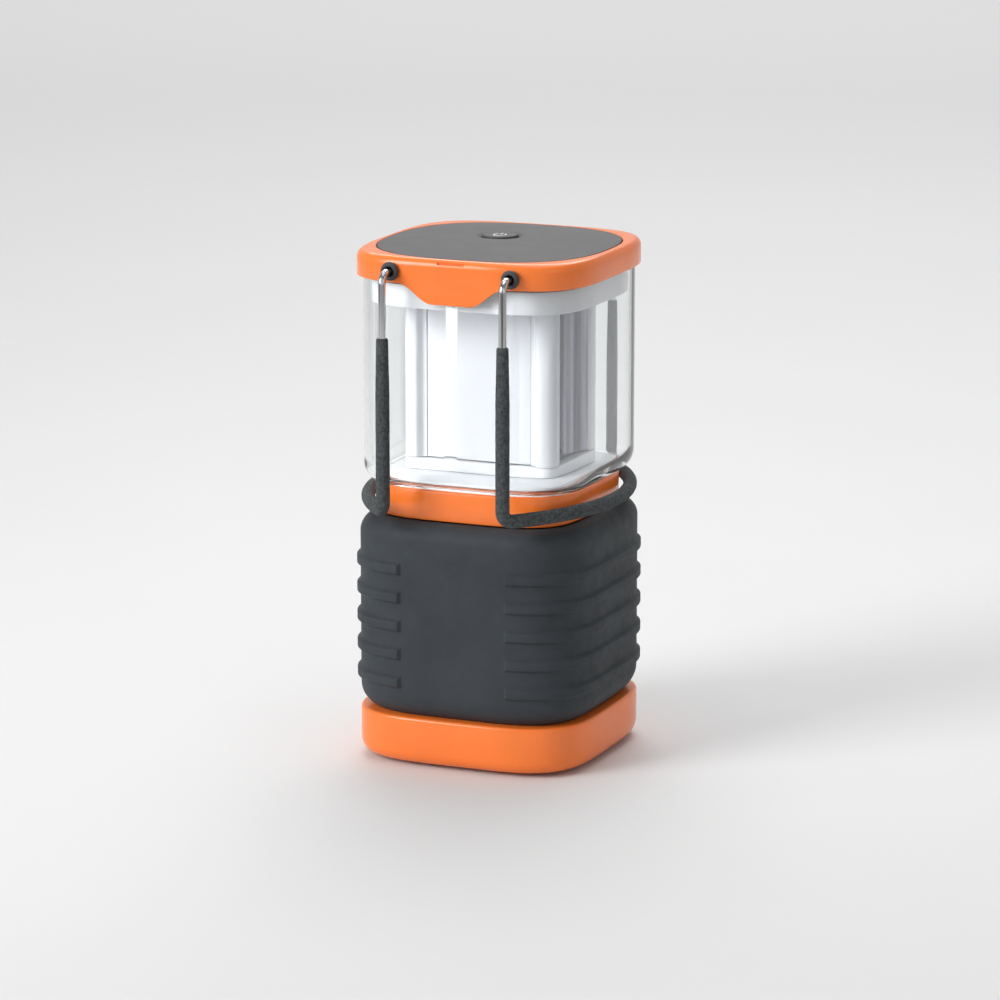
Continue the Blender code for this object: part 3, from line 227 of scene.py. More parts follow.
def prism(name, outline, draw):
    """A flat outline of points, extruded along one vector."""
    bpy.ops.object.select_all(action="DESELECT")
    bpy.ops.mesh.primitive_circle_add(vertices=len(outline), radius=1.0, fill_type="NGON")
    piece = bpy.context.object
    piece.name = name
    bpy.ops.object.mode_set(mode="EDIT")
    bpy.ops.mesh.select_mode(type="FACE")
    bpy.ops.mesh.select_all(action="SELECT")
    mesh = bmesh.from_edit_mesh(piece.data)
    face = mesh.faces[:][0]
    for point, place in zip(list(face.verts), outline):
        point.co = place
    bmesh.update_edit_mesh(piece.data)
    bpy.ops.mesh.extrude_region_move(TRANSFORM_OT_translate={"value": tuple(draw)})
    bpy.ops.mesh.select_all(action="SELECT")
    bpy.ops.mesh.normals_make_consistent(inside=False)
    bpy.ops.object.mode_set(mode="OBJECT")
    return piece


def brick(name, low_corner, high_corner, edge=0.0):
    """A box between two corners, with its edges rounded."""
    low_corner, high_corner = Vector(low_corner), Vector(high_corner)
    middle, extent = (low_corner + high_corner) / 2, high_corner - low_corner
    bpy.ops.object.select_all(action="DESELECT")
    bpy.ops.mesh.primitive_cube_add(size=1, location=middle, scale=extent)
    piece = bpy.context.object
    piece.name = name
    bpy.ops.object.transform_apply(location=True, rotation=True, scale=True)
    if edge:
        bpy.ops.object.mode_set(mode="EDIT")
        bpy.ops.mesh.select_all(action="SELECT")
        bpy.ops.mesh.bevel(offset=edge, segments=2, affect="EDGES")
        bpy.ops.object.mode_set(mode="OBJECT")
    return piece


def upright_box(name, low_corner, high_corner, radius, edge):
    """A box with its four upright edges rounded to a radius and its ends softened."""
    piece = brick(name, low_corner, high_corner)
    only(piece)
    bpy.ops.object.mode_set(mode="EDIT")
    bpy.ops.mesh.select_mode(type="EDGE")
    pick_edges(piece, lambda a, b: abs(a.z - b.z) > SAME)
    bpy.ops.mesh.bevel(offset=radius, segments=10, affect="EDGES")
    if edge:
        ends = (high_corner[2], low_corner[2])

        def round_an_end(a, b):
            return abs(a.z - b.z) < SAME and any(abs(a.z - end) < SAME for end in ends)

        pick_edges(piece, round_an_end)
        bpy.ops.mesh.bevel(offset=edge, segments=3, affect="EDGES")
    bpy.ops.object.mode_set(mode="OBJECT")
    return piece


def post(name, x, y, radius, bottom, top):
    """An upright round bar."""
    middle = (x, y, (top + bottom) / 2)
    bpy.ops.object.select_all(action="DESELECT")
    bpy.ops.mesh.primitive_cylinder_add(vertices=40, radius=radius, depth=top - bottom, location=middle)
    piece = bpy.context.object
    piece.name = name
    bpy.ops.object.transform_apply(location=True, rotation=True, scale=True)
    return piece


def pick_edges(piece, wanted):
    """In edit mode, selects the edges whose two ends pass a test."""
    bpy.ops.mesh.select_all(action="DESELECT")
    mesh = bmesh.from_edit_mesh(piece.data)
    for edge in mesh.edges:
        edge.select = wanted(edge.verts[0].co, edge.verts[1].co)
    mesh.select_flush(True)
    for face in mesh.faces:
        face.select = False
    for edge in mesh.edges:
        edge.select = wanted(edge.verts[0].co, edge.verts[1].co)
    bmesh.update_edit_mesh(piece.data)


def pick_faces(piece, wanted):
    """In edit mode, selects the faces whose middle and normal pass a test."""
    bpy.ops.mesh.select_mode(type="FACE")
    bpy.ops.mesh.select_all(action="DESELECT")
    mesh = bmesh.from_edit_mesh(piece.data)
    for face in mesh.faces:
        face.select = wanted(face.calc_center_median(), face.normal)
    mesh.select_flush_mode()
    bmesh.update_edit_mesh(piece.data)


def apply_modifier(piece, kind, **values):
    """Adds a modifier with these settings and applies it."""
    only(piece)
    step = piece.modifiers.new(kind.lower(), kind)
    for key, value in values.items():
        setattr(step, key, value)
    bpy.ops.object.modifier_apply(modifier=step.name)


def cut(piece, tool, operation="DIFFERENCE"):
    """Cuts a tool from a piece or joins it on, and removes the tool."""
    apply_modifier(piece, "BOOLEAN", operation=operation, solver="EXACT", object=tool)
    bpy.data.objects.remove(tool, do_unlink=True)


def soften(piece, width, segments, degrees):
    """Rounds the edges that are sharper than an angle."""
    limit = math.radians(degrees)
    settings = {"limit_method": "ANGLE", "angle_limit": limit, "use_clamp_overlap": True}
    apply_modifier(piece, "BEVEL", width=width, segments=segments, **settings)


def weld(piece):
    """Merges points that lie on each other, and clears the faces that this leaves with no area."""
    gap = 0.002 * MM
    only(piece)
    bpy.ops.object.mode_set(mode="EDIT")
    bpy.ops.mesh.select_all(action="SELECT")
    bpy.ops.mesh.remove_doubles(threshold=gap)
    bpy.ops.mesh.dissolve_degenerate(threshold=gap)
    bpy.ops.object.mode_set(mode="OBJECT")


def smooth(piece, degrees=32):
    """Shades a piece smooth, apart from edges sharper than an angle."""
    only(piece)
    bpy.ops.object.shade_smooth_by_angle(angle=math.radians(degrees))


def moved_copy(piece, name, matrix):
    """A copy with its own mesh, its place in the mesh."""
    copy = piece.copy()
    copy.data = piece.data.copy()
    copy.name = name
    bpy.context.scene.collection.objects.link(copy)
    copy.data.transform(matrix)
    return copy


def done(piece, body, finish, node=None):
    """Gives a finished piece its finish, its body and the solid node that it stands for."""
    piece.data.materials.clear()
    piece.data.materials.append(bpy.data.materials[finish])
    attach(piece, body)
    if node:
        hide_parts(node)


def standing(middle):
    """Moves an upright part to its place in plan."""
    return Matrix.Translation((middle.x, middle.y, 0))


def facing_out(middle):
    """Lays an upright part along Y, with its top towards the nearer of front and back."""
    turn = Matrix.Rotation(math.pi / 2 if middle.y < 0 else -math.pi / 2, 4, "X")
    return Matrix.Translation((middle.x, 0, middle.z)) @ turn


def at_corners(pattern, name, node, finish, placing):
    """Puts a copy of a part at each of its four places, and removes the pattern."""
    for corner in CORNERS:
        copy = moved_copy(pattern, name + corner, placing(middle_of(node + corner)))
        done(copy, "lantern", finish, node + corner)
    bpy.data.objects.remove(pattern)


# ---- finishes -------------------------------------------------------------------------------------


class Finish:
    """A Principled material, with helpers for the nodes behind it."""

    def __init__(self, name, base, roughness, **sockets):
        plain = bpy.data.materials.get(name)
        if plain is not None:
            plain.name = name + "_plain"
        self.material = bpy.data.materials.new(name)
        self.material.use_nodes = True
        self.tree = self.material.node_tree
        self.shader = self.tree.nodes["Principled BSDF"]
        self.shader.inputs["Base Color"].default_value = (*base, 1)
        self.shader.inputs["Roughness"].default_value = roughness
        for key, value in sockets.items():
            self.shader.inputs[key.replace("_", " ")].default_value = value
        self.place = self.tree.nodes.new("ShaderNodeTexCoord").outputs["Object"]

    def node(self, kind, **values):
        made = self.tree.nodes.new(kind)
        for key, value in values.items():
            setattr(made, key, value)
        return made

    def stretched(self, scale):
        mapping = self.node("ShaderNodeMapping")
        mapping.inputs["Scale"].default_value = scale
        self.tree.links.new(self.place, mapping.inputs["Vector"])
        return mapping.outputs["Vector"]

    def noise(self, scale, detail=3.0, place=None):
        made = self.node("ShaderNodeTexNoise")
        made.inputs["Scale"].default_value = scale
        made.inputs["Detail"].default_value = detail
        self.tree.links.new(place or self.place, made.inputs["Vector"])
        return made.outputs["Fac"]

    def cells(self, scale):
        made = self.node("ShaderNodeTexVoronoi")
        made.inputs["Scale"].default_value = scale
        self.tree.links.new(self.place, made.inputs["Vector"])
        return made.outputs["Distance"]

    def between(self, value, start, end, from_start=0.3, from_end=0.7):
        made = self.node("ShaderNodeMapRange")
        self.tree.links.new(value, made.inputs["Value"])
        made.inputs["From Min"].default_value = from_start
        made.inputs["From Max"].default_value = from_end
        made.inputs["To Min"].default_value = start
        made.inputs["To Max"].default_value = end
        return made.outputs["Result"]

    def tint(self, value, base, spread):
        """Varies the base colour a little with a pattern."""
        mix = self.node("ShaderNodeMix", data_type="RGBA")
        self.tree.links.new(self.between(value, 0, 1, 0.35, 0.65), mix.inputs["Factor"])
        mix.inputs["A"].default_value = (*[part * (1 - spread) for part in base], 1)
        mix.inputs["B"].default_value = (*[min(part * (1 + spread), 1) for part in base], 1)
        self.tree.links.new(mix.outputs["Result"], self.shader.inputs["Base Color"])

    def rough(self, value, start, end):
        self.tree.links.new(self.between(value, start, end), self.shader.inputs["Roughness"])

    def bump(self, value, depth, strength=1.0, before=None):
        made = self.node("ShaderNodeBump")
        made.inputs["Distance"].default_value = depth
        made.inputs["Strength"].default_value = strength
        self.tree.links.new(value, made.inputs["Height"])
        if before is not None:
            self.tree.links.new(before, made.inputs["Normal"])
        self.tree.links.new(made.outputs["Normal"], self.shader.inputs["Normal"])
        return made.outputs["Normal"]


def plastic(name, base, roughness, grain=1500, spread=0.03, wear=0.15, ripple=0.008 * MM):
    """Moulded plastic: a faint skin texture, and slow changes in gloss and tone."""
    finish = Finish(name, base, roughness)
    slow = finish.noise(60, 2)
    finish.tint(slow, base, spread)
    finish.rough(finish.noise(140, 4), roughness * (1 - wear), roughness * (1 + wear))
    waves = finish.bump(finish.noise(90, 1), ripple, 0.4)
    finish.bump(finish.noise(grain, 3), 0.006 * MM, 0.7, waves)


def clear_plastic():
    """Clear plastic that lets light through in place of a dark shadow."""
    finish = Finish("clear_polycarbonate", (0.97, 0.985, 0.99), 0.02, IOR=1.5, Transmission_Weight=1.0)
    finish.rough(finish.noise(50, 3), 0.0, 0.012)
    finish.bump(finish.noise(22, 1), 0.03 * MM, 0.25)
    tree = finish.tree
    path = finish.node("ShaderNodeLightPath")
    through = finish.node("ShaderNodeBsdfTransparent")
    through.inputs["Color"].default_value = (0.98, 0.985, 0.99, 1)
    mix = finish.node("ShaderNodeMixShader")
    tree.links.new(path.outputs["Is Shadow Ray"], mix.inputs["Fac"])
    tree.links.new(finish.shader.outputs["BSDF"], mix.inputs[1])
    tree.links.new(through.outputs["BSDF"], mix.inputs[2])
    tree.links.new(mix.outputs["Shader"], tree.nodes["Material Output"].inputs["Surface"])


def rubber():
    """Matt rubber with a soft, finely pitted skin."""
    base = colours().rubber
    sockets = {"Specular_IOR_Level": 0.3, "Sheen_Weight": 0.03, "Sheen_Roughness": 0.5}
    finish = Finish("charcoal_rubber", base, 0.6, **sockets)
    finish.tint(finish.noise(45, 4), base, 0.10)
    finish.rough(finish.noise(220, 4), 0.6, 0.74)
    soft = finish.bump(finish.noise(420, 2), 0.02 * MM, 0.6)
    finish.bump(finish.noise(3000, 3), 0.018 * MM, 0.8, soft)


def foam():
    """Mottled foam with open pores."""
    base = colours().foam
    sockets = {"Specular_IOR_Level": 0.12, "Sheen_Weight": 0.04, "Sheen_Roughness": 0.6}
    finish = Finish("charcoal_foam", base, 0.92, **sockets)
    mottled = finish.noise(800, 6)
    finish.tint(mottled, base, 0.32)
    finish.rough(finish.noise(600, 3), 0.84, 0.98)
    pores = finish.bump(finish.cells(1300), 0.25 * MM, 0.9)
    finish.bump(mottled, 0.35 * MM, 0.9, pores)


def metal(name, base, roughness, stretch=(400, 400, 400), spread=0.1):
    """Metal with fine marks, drawn out where the stretch is uneven."""
    finish = Finish(name, base, roughness, Metallic=1.0)
    drawn = finish.noise(1.0, 4, finish.stretched(stretch))
    finish.tint(drawn, base, spread)
    finish.rough(drawn, roughness * 0.7, roughness * 1.5)
    finish.bump(drawn, 0.004 * MM, 0.6)


def mirror_sheet_painted_shade():
    """Thin mirrored sheet with long, upright waves. Its dark lavender base colour is painted shade."""
    # painted shade: the mirror's base colour is darkened and tinted lavender to stand in for the shaded side of
    # the column
    base = (0.30, 0.29, 0.335)
    finish = Finish("mirrored_sheet", base, 0.10, Metallic=1.0)
    drawn = finish.noise(1.0, 2, finish.stretched((260, 260, 9)))
    finish.tint(drawn, base, 0.4)
    finish.rough(drawn, 0.06, 0.2)
    finish.bump(drawn, 0.05 * MM, 0.5)


def board(name, base):
    """Printed board: solder mask with fine copper tracks showing through."""
    finish = Finish(name, base, 0.4)
    tracks = finish.node("ShaderNodeTexBrick")
    tracks.inputs["Scale"].default_value = 260
    tracks.inputs["Mortar Size"].default_value = 0.03
    tracks.inputs["Color1"].default_value = (*base, 1)
    tracks.inputs["Color2"].default_value = (*[part * 0.9 for part in base], 1)
    tracks.inputs["Mortar"].default_value = (*[min(part * 1.5 + 0.03, 1) for part in base], 1)
    finish.tree.links.new(finish.place, tracks.inputs["Vector"])
    finish.tree.links.new(tracks.outputs["Color"], finish.shader.inputs["Base Color"])
    finish.bump(tracks.outputs["Fac"], 0.02 * MM, 0.5)


class LANTERN_OT_finishes(bpy.types.Operator):
    """Make every material and give the solid nodes that stay visible theirs"""

    bl_idname = "lantern.finishes"
    bl_label = "Finishes"

    def execute(self, context):
        shades = colours()
        plastic("orange_abs", shades.orange, 0.22)
        plastic("charcoal_abs", shades.charcoal, 0.6, grain=2200, spread=0.04, wear=0.03, ripple=0.0)
        plastic("black_abs", shades.black, 0.5, grain=2200, spread=0.06, wear=0.05, ripple=0.0)
        plastic("white_abs", shades.white, 0.22, spread=0.012)
        plastic("milky_diffuser", shades.milky, 0.38, spread=0.01)
        plastic("blue_cell_wrap", (0.03, 0.14, 0.42), 0.3)
        plastic("red_plastic", (0.62, 0.02, 0.02), 0.3)
        plastic("black_wire", (0.02, 0.02, 0.02), 0.45)
        plastic("yellow_phosphor", (0.9, 0.68, 0.12), 0.4, spread=0.1)
        plastic("printed_mark", (0.62, 0.63, 0.64), 0.5)
        clear_plastic()
        rubber()
        foam()
        metal("bright_steel", (0.56, 0.56, 0.57), 0.06, (1300, 1300, 10), spread=0.6)
        metal("gold_contact", (0.80, 0.60, 0.24), 0.22)
        mirror_sheet_painted_shade()
        board("white_circuit_board", (0.72, 0.74, 0.73))
        board("green_circuit_board", (0.02, 0.16, 0.06))
        for part in frame["record"]["subparts"]:
            node = frame["nodes"][part["node"]]
            finish = bpy.data.materials[part["material_slot"]]
            for entry in node.material_slots:
                entry.material = finish
        return {"FINISHED"}


# ---- body -----------------------------------------------------------------------------------------


def bowed_y(half, x, power=BOWED):
    """How far the bowed outline's front or back is from the middle at one x."""
    return (half**power - abs(x) ** power) ** (1 / power)


class LANTERN_OT_grip(bpy.types.Operator):
    """Model the rubber sleeve and raise its grip ribs"""

    bl_idname = "lantern.grip"
    bl_label = "Grip sleeve"

    def execute(self, context):
        size = sizes()
        bottom, top = low("grip_sleeve").z, high("grip_sleeve").z
        half = high("grip_sleeve").x - size.rib_proud
        lip = high("collar").x - 0.3 * MM
        inside = half - 2.2 * MM
        skirt_inside = half - size.skirt_inset - 1.8 * MM
        ribs = []
        lowest = bottom + size.skirt_rise + 3.7 * MM
        pitch = (top - 18.5 * MM - lowest) / 4
        for i in range(5):
            middle = lowest + i * pitch
            ribs.append((middle - size.rib_height / 2, middle + size.rib_height / 2))

        rows = []
        for i in range(9):
            share = i / 8
            drawn_in = size.skirt_inset * (1 - share) ** 2.6
            rows.append((half - drawn_in, bottom + size.skirt_rise * share, BOWED))
        for start, end in ribs:
            rows += [(half, start, BOWED), (half, end, BOWED)]
        radius = size.shoulder
        centre, centre_z = half - radius, top - radius
        for i in range(13):
            angle = math.radians(76) * i / 12
            rows.append((centre + radius * math.cos(angle), centre_z + radius * math.sin(angle), BOWED))
        rows += [
            (lip + 0.3 * MM, top, BOWED),
            (lip, top - 0.2 * MM, BOWED),
            (lip, top - 2.2 * MM, BOWED),
            (inside, centre_z, BOWED),
            (inside, bottom + 11 * MM, BOWED),
            (skirt_inside, bottom + 2 * MM, BOWED),
            (skirt_inside, bottom, BOWED),
        ]
        corner = math.atan2(bowed_y(half, size.label_half), size.label_half)
        sleeve = drawn_up("sleeve", rows, True, snap=(corner, math.pi - corner, -corner, corner - math.pi))

        bpy.ops.object.mode_set(mode="EDIT")

        def in_rib(middle, normal):
            if middle.x * normal.x + middle.y * normal.y < 0.5 * half:
                return False
            plain = abs(middle.y) > 0.8 * half and abs(middle.x) < size.label_half
            return not plain and any(start < middle.z < end for start, end in ribs)

        pick_faces(sleeve, in_rib)
        bpy.ops.mesh.inset(thickness=size.rib_flank, depth=size.rib_proud, use_even_offset=True)
        bpy.ops.object.mode_set(mode="OBJECT")
        soften(sleeve, 0.55 * MM, 3, 28)
        smooth(sleeve, 40)
        done(sleeve, "lantern", "charcoal_rubber", "grip_sleeve")
        return {"FINISHED"}


class LANTERN_OT_base(bpy.types.Operator):
    """Model the orange base cup with its openings, feet and screws"""

    bl_idname = "lantern.base"
    bl_label = "Base"

    def execute(self, context):
        bottom, top = low("base_ring").z, high("base_ring").z
        half = high("base_ring").x
        inner = half - 2.6 * MM
        rim = half - 6.3 * MM
        floor_top = bottom + 2.5 * MM
        heel_in, heel_up, edge = 4.2 * MM, 5.5 * MM, 1.2 * MM
        rows = [(half - 4.5 * MM, bottom, BOWED)]
        for sine, cosine in quarter_turn(8, 1):
            rows.append((half - heel_in * (1 - sine), bottom + heel_up * (1 - cosine), BOWED))
        for sine, cosine in quarter_turn(6):
            rows.append((half - edge + edge * cosine, top - edge + edge * sine, BOWED))
        rows += [
            (rim, top, BOWED),
            (rim, top - 2.2 * MM, BOWED),
            (inner, top - 5 * MM, BOWED),
            (inner, floor_top, BOWED),
        ]
        cup = drawn_up("base_cup", rows)
        bay_low, bay_high = low("battery_bay"), high("battery_bay")
        wall = 1.8 * MM
        opening = upright_box(
            "opening",
            (bay_low.x + wall, bay_low.y + wall, bottom - 2 * MM),
            (bay_high.x - wall, bay_high.y - wall, floor_top + 2 * MM),
            4.5 * MM,
            0,
        )
        cut(cup, opening)
        under = bottom - MM
        for corner in CORNERS:
            x, y, _ = middle_of("foot_" + corner)
            cut(cup, post("pocket", x, y, 5.8 * MM, under, bottom + 1.0 * MM))
            x, y, _ = middle_of("base_screw_" + corner)
            cut(cup, post("head_hole", x, y, 3.1 * MM, under, bottom + 1.4 * MM))
            cut(cup, post("shank_hole", x, y, 1.7 * MM, bottom, floor_top + MM))
        smooth(cup)
        done(cup, "lantern", "orange_abs", "base_ring")
        self.feet(bottom)
        self.screws()
        return {"FINISHED"}

    def feet(self, bottom):
        """Round rubber feet, each with a shallow groove in its sole."""
        foot = post("foot", 0, 0, 5.5 * MM, 0, bottom + 0.7 * MM)
        only(foot)
        bpy.ops.object.mode_set(mode="EDIT")
        pick_faces(foot, lambda middle, normal: normal.z < -0.9)
        bpy.ops.mesh.inset(thickness=1.1 * MM, depth=0)
        bpy.ops.mesh.inset(thickness=0.4 * MM, depth=-0.35 * MM)
        bpy.ops.object.mode_set(mode="OBJECT")
        soften(foot, 0.15 * MM, 3, 40)
        weld(foot)
        smooth(foot)
        at_corners(foot, "rubber_foot_", "foot_", "charcoal_rubber", standing)

    def screws(self):
        """Threaded screws with a cross in the head."""
        node = "base_screw_front_left"
        bottom, tip = low(node).z, high(node).z
        rows = [
            (2.45 * MM, bottom, ROUND),
            (2.7 * MM, bottom + 0.12 * MM, ROUND),
            (2.8 * MM, bottom + 0.35 * MM, ROUND),
            (2.8 * MM, bottom + 0.9 * MM, ROUND),
            (1.35 * MM, bottom + 0.9 * MM, ROUND),
        ]
        turns, root, crest = 9, 1.1 * MM, 1.4 * MM
        for i in range(turns):
            height = bottom + 1.6 * MM + (tip - bottom - 3 * MM) * i / turns
            rows += [(root, height, ROUND), (crest, height + 0.35 * MM, ROUND)]
        rows += [(1.0 * MM, tip - 0.8 * MM, ROUND), (0.5 * MM, tip, ROUND)]
        screw = drawn_up("screw", rows, count=28)
        reach_out, narrow = 1.7 * MM, 0.42 * MM
        for wide, deep in ((reach_out, narrow), (narrow, reach_out)):
            cut(screw, brick("slot", (-wide, -deep, bottom - MM), (wide, deep, bottom + 0.6 * MM)))
        smooth(screw)
        at_corners(screw, "steel_base_screw_", "base_screw_", "bright_steel", standing)


class LANTERN_OT_collar(bpy.types.Operator):
    """Model the orange collar with the lens seat at its top"""

    bl_idname = "lantern.collar"
    bl_label = "Collar"

    def execute(self, context):
        half, bottom, top = high("collar").x, low("collar").z, high("collar").z
        seat = top - 1.5 * MM
        rows = [(half - 6 * MM, bottom, BOWED), (half - 0.6 * MM, bottom, BOWED)]
        rows += [(half - 0.18 * MM, bottom + 0.18 * MM, BOWED), (half, bottom + 0.6 * MM, BOWED)]
        rows += [(half, seat - 0.45 * MM, BOWED), (half - 0.12 * MM, seat - 0.13 * MM, BOWED)]
        rows += [(half - 0.45 * MM, seat, BOWED), (half - 0.9 * MM, seat, BOWED)]
        rows += [(half - 0.9 * MM, top, BOWED), (half - 6 * MM, top, BOWED)]
        collar = drawn_up("collar_ring", rows, True)
        smooth(collar, 50)
        done(collar, "lantern", "orange_abs", "collar")
        return {"FINISHED"}


class LANTERN_OT_lens(bpy.types.Operator):
    """Model the clear window, thicker where it curves in to the collar"""

    bl_idname = "lantern.lens"
    bl_label = "Lens"

    def execute(self, context):
        half, bottom, top = high("lens").x, low("lens").z, high("lens").z
        seat = high("collar").x
        inner, neck = half - 2 * MM, seat - 0.6 * MM
        curve, rise = half - seat - 0.2 * MM, 7.25 * MM
        rows = []
        for sine, cosine in quarter_turn(14):
            width = half - curve * (1 - sine)
            rows.append((width, bottom + 0.3 * MM + rise * (1 - cosine), BOWED))
        rows += [(half, top - 0.2 * MM, BOWED), (half - 0.2 * MM, top, BOWED), (inner, top, BOWED)]
        for sine, cosine in reversed(quarter_turn(12)):
            width = inner - (inner - neck) * (1 - sine)
            rows.append((width, bottom + 2.4 * MM + rise * (1 - cosine), BOWED))
        rows += [(neck, bottom, BOWED), (seat - 0.1 * MM, bottom, BOWED)]
        window = drawn_up("window", rows, True)
        smooth(window, 45)
        done(window, "lantern", "clear_polycarbonate", "lens")
        return {"FINISHED"}


# ---- light column ---------------------------------------------------------------------------------


class LANTERN_OT_column(bpy.types.Operator):
    """Model the tray, the plinth, the four-post column and the top reflector"""

    bl_idname = "lantern.column"
    bl_label = "Light column"

    def execute(self, context):
        self.tray()
        self.plinth()
        self.posts()
        self.panels()
        self.reflector()
        return {"FINISHED"}

    def tray(self):
        half, bottom, top = high("tray").x, low("tray").z, high("tray").z
        edge, hole = 0.5 * MM, 12 * MM
        rows = [(half, bottom, BOWED), (half, top - edge, BOWED)]
        for sine, cosine in quarter_turn(4, 1):
            rows.append((half - edge * (1 - cosine), top - edge * (1 - sine), BOWED))
        rows += [(hole, top, ROUND), (hole, bottom, ROUND)]
        tray = drawn_up("tray_floor", rows, True)
        smooth(tray)
        done(tray, "lantern", "white_abs", "tray")

    def plinth(self):
        corner_low, corner_high = low("plinth"), high("plinth")
        plinth = upright_box("plinth_block", corner_low, corner_high, sizes().post_radius, 0.5 * MM)
        hole_x, hole_y = 15 * MM, 9 * MM
        hole_low = (-hole_x, -hole_y, corner_low.z - MM)
        hole_high = (hole_x, hole_y, corner_high.z + MM)
        cut(plinth, brick("hole", hole_low, hole_high))
        smooth(plinth)
        done(plinth, "lantern", "white_abs", "plinth")

    def posts(self):
        """Four posts in one piece: a quarter of the outline, mirrored both ways."""
        size = sizes()
        half_x, half_y, top = high("reflector_column")
        bottom = low("reflector_column").z
        side_end = half_y - 8.4 * MM
        quarter = []
        for i in range(1, 9):
            y = side_end * i / 8
            quarter.append((half_x - (4.6 * MM - 2.6 * MM * (y / side_end) ** 2), y))
        quarter += [(half_x - 1.4 * MM, side_end + 0.05 * MM), (half_x - 0.5 * MM, side_end + 0.5 * MM)]
        quarter.append((half_x - 0.1 * MM, side_end + 1.2 * MM))
        for sine, cosine in quarter_turn(12):
            radius = size.post_radius
            quarter.append((half_x - radius * (1 - cosine), half_y - radius * (1 - sine)))
        inner = half_x - size.post_width
        for i in range(9):
            share = i / 8
            drop = 2.5 * MM * (3 * share**2 - 2 * share**3)
            quarter.append((inner - 2.4 * MM * share, half_y - 0.05 * MM - drop))
        pocket = inner - 3.6 * MM
        quarter += [(pocket, half_y - 2.6 * MM), (pocket, half_y - 6.8 * MM)]
        upper = quarter + [(-x, y) for x, y in reversed(quarter)]
        outline = upper + [(x, -y) for x, y in reversed(upper)]
        column = prism("column_posts", [(x, y, bottom) for x, y in outline], (0, 0, top - bottom))
        room_x, room_y = half_x - 6.6 * MM, half_y - 8.4 * MM
        room = brick("room", (-room_x, -room_y, bottom - MM), (room_x, room_y, top + MM))
        cut(column, room)
        smooth(column, 35)
        done(column, "lantern", "white_abs", "reflector_column")

    def panels(self):
        """Diffusers that bow out slightly, with their side edges turned in."""
        for face, sign in (("front", -1), ("back", 1)):
            node = "diffuser_" + face
            corner_low, corner_high = low(node), high(node)
            half = corner_high.x
            inner = min(abs(corner_low.y), abs(corner_high.y))
            outer = max(abs(corner_low.y), abs(corner_high.y))
            outline = [(half, sign * inner, corner_low.z), (-half, sign * inner, corner_low.z)]
            for i in range(25):
                x = half * (i / 12 - 1)
                bow = 0.55 * MM * (x / half) ** 2 + 0.35 * MM * max(0, abs(x / half) - 0.93) / 0.07
                outline.append((x, sign * (outer - bow), corner_low.z))
            panel = prism(node + "_panel", outline, (0, 0, corner_high.z - corner_low.z))
            smooth(panel, 40)
            done(panel, "lantern", "milky_diffuser", node)

    def reflector(self):
        half, bottom, top = high("top_reflector").x, low("top_reflector").z, high("top_reflector").z
        wall, hole, ceiling = 1.5 * MM, 12 * MM, half - 6 * MM
        rows = [(half - 0.15 * MM, bottom + 0.15 * MM, BOWED), (half, bottom + 0.5 * MM, BOWED)]
        rows += [(half, top, BOWED), (hole, top, ROUND)]
        rows += [(hole, top - wall, ROUND), (ceiling, top - wall, BOWED)]
        for sine, cosine in quarter_turn(8, 1):
            rows.append((ceiling + 4.3 * MM * sine, top - wall - 4 * MM * (1 - cosine), BOWED))
        rows += [(half - wall, bottom, BOWED), (half - 0.5 * MM, bottom, BOWED)]
        reflector = drawn_up("reflector_skirt", rows, True)
        smooth(reflector, 40)
        done(reflector, "lantern", "white_abs", "top_reflector")


# ---- cap ------------------------------------------------------------------------------------------


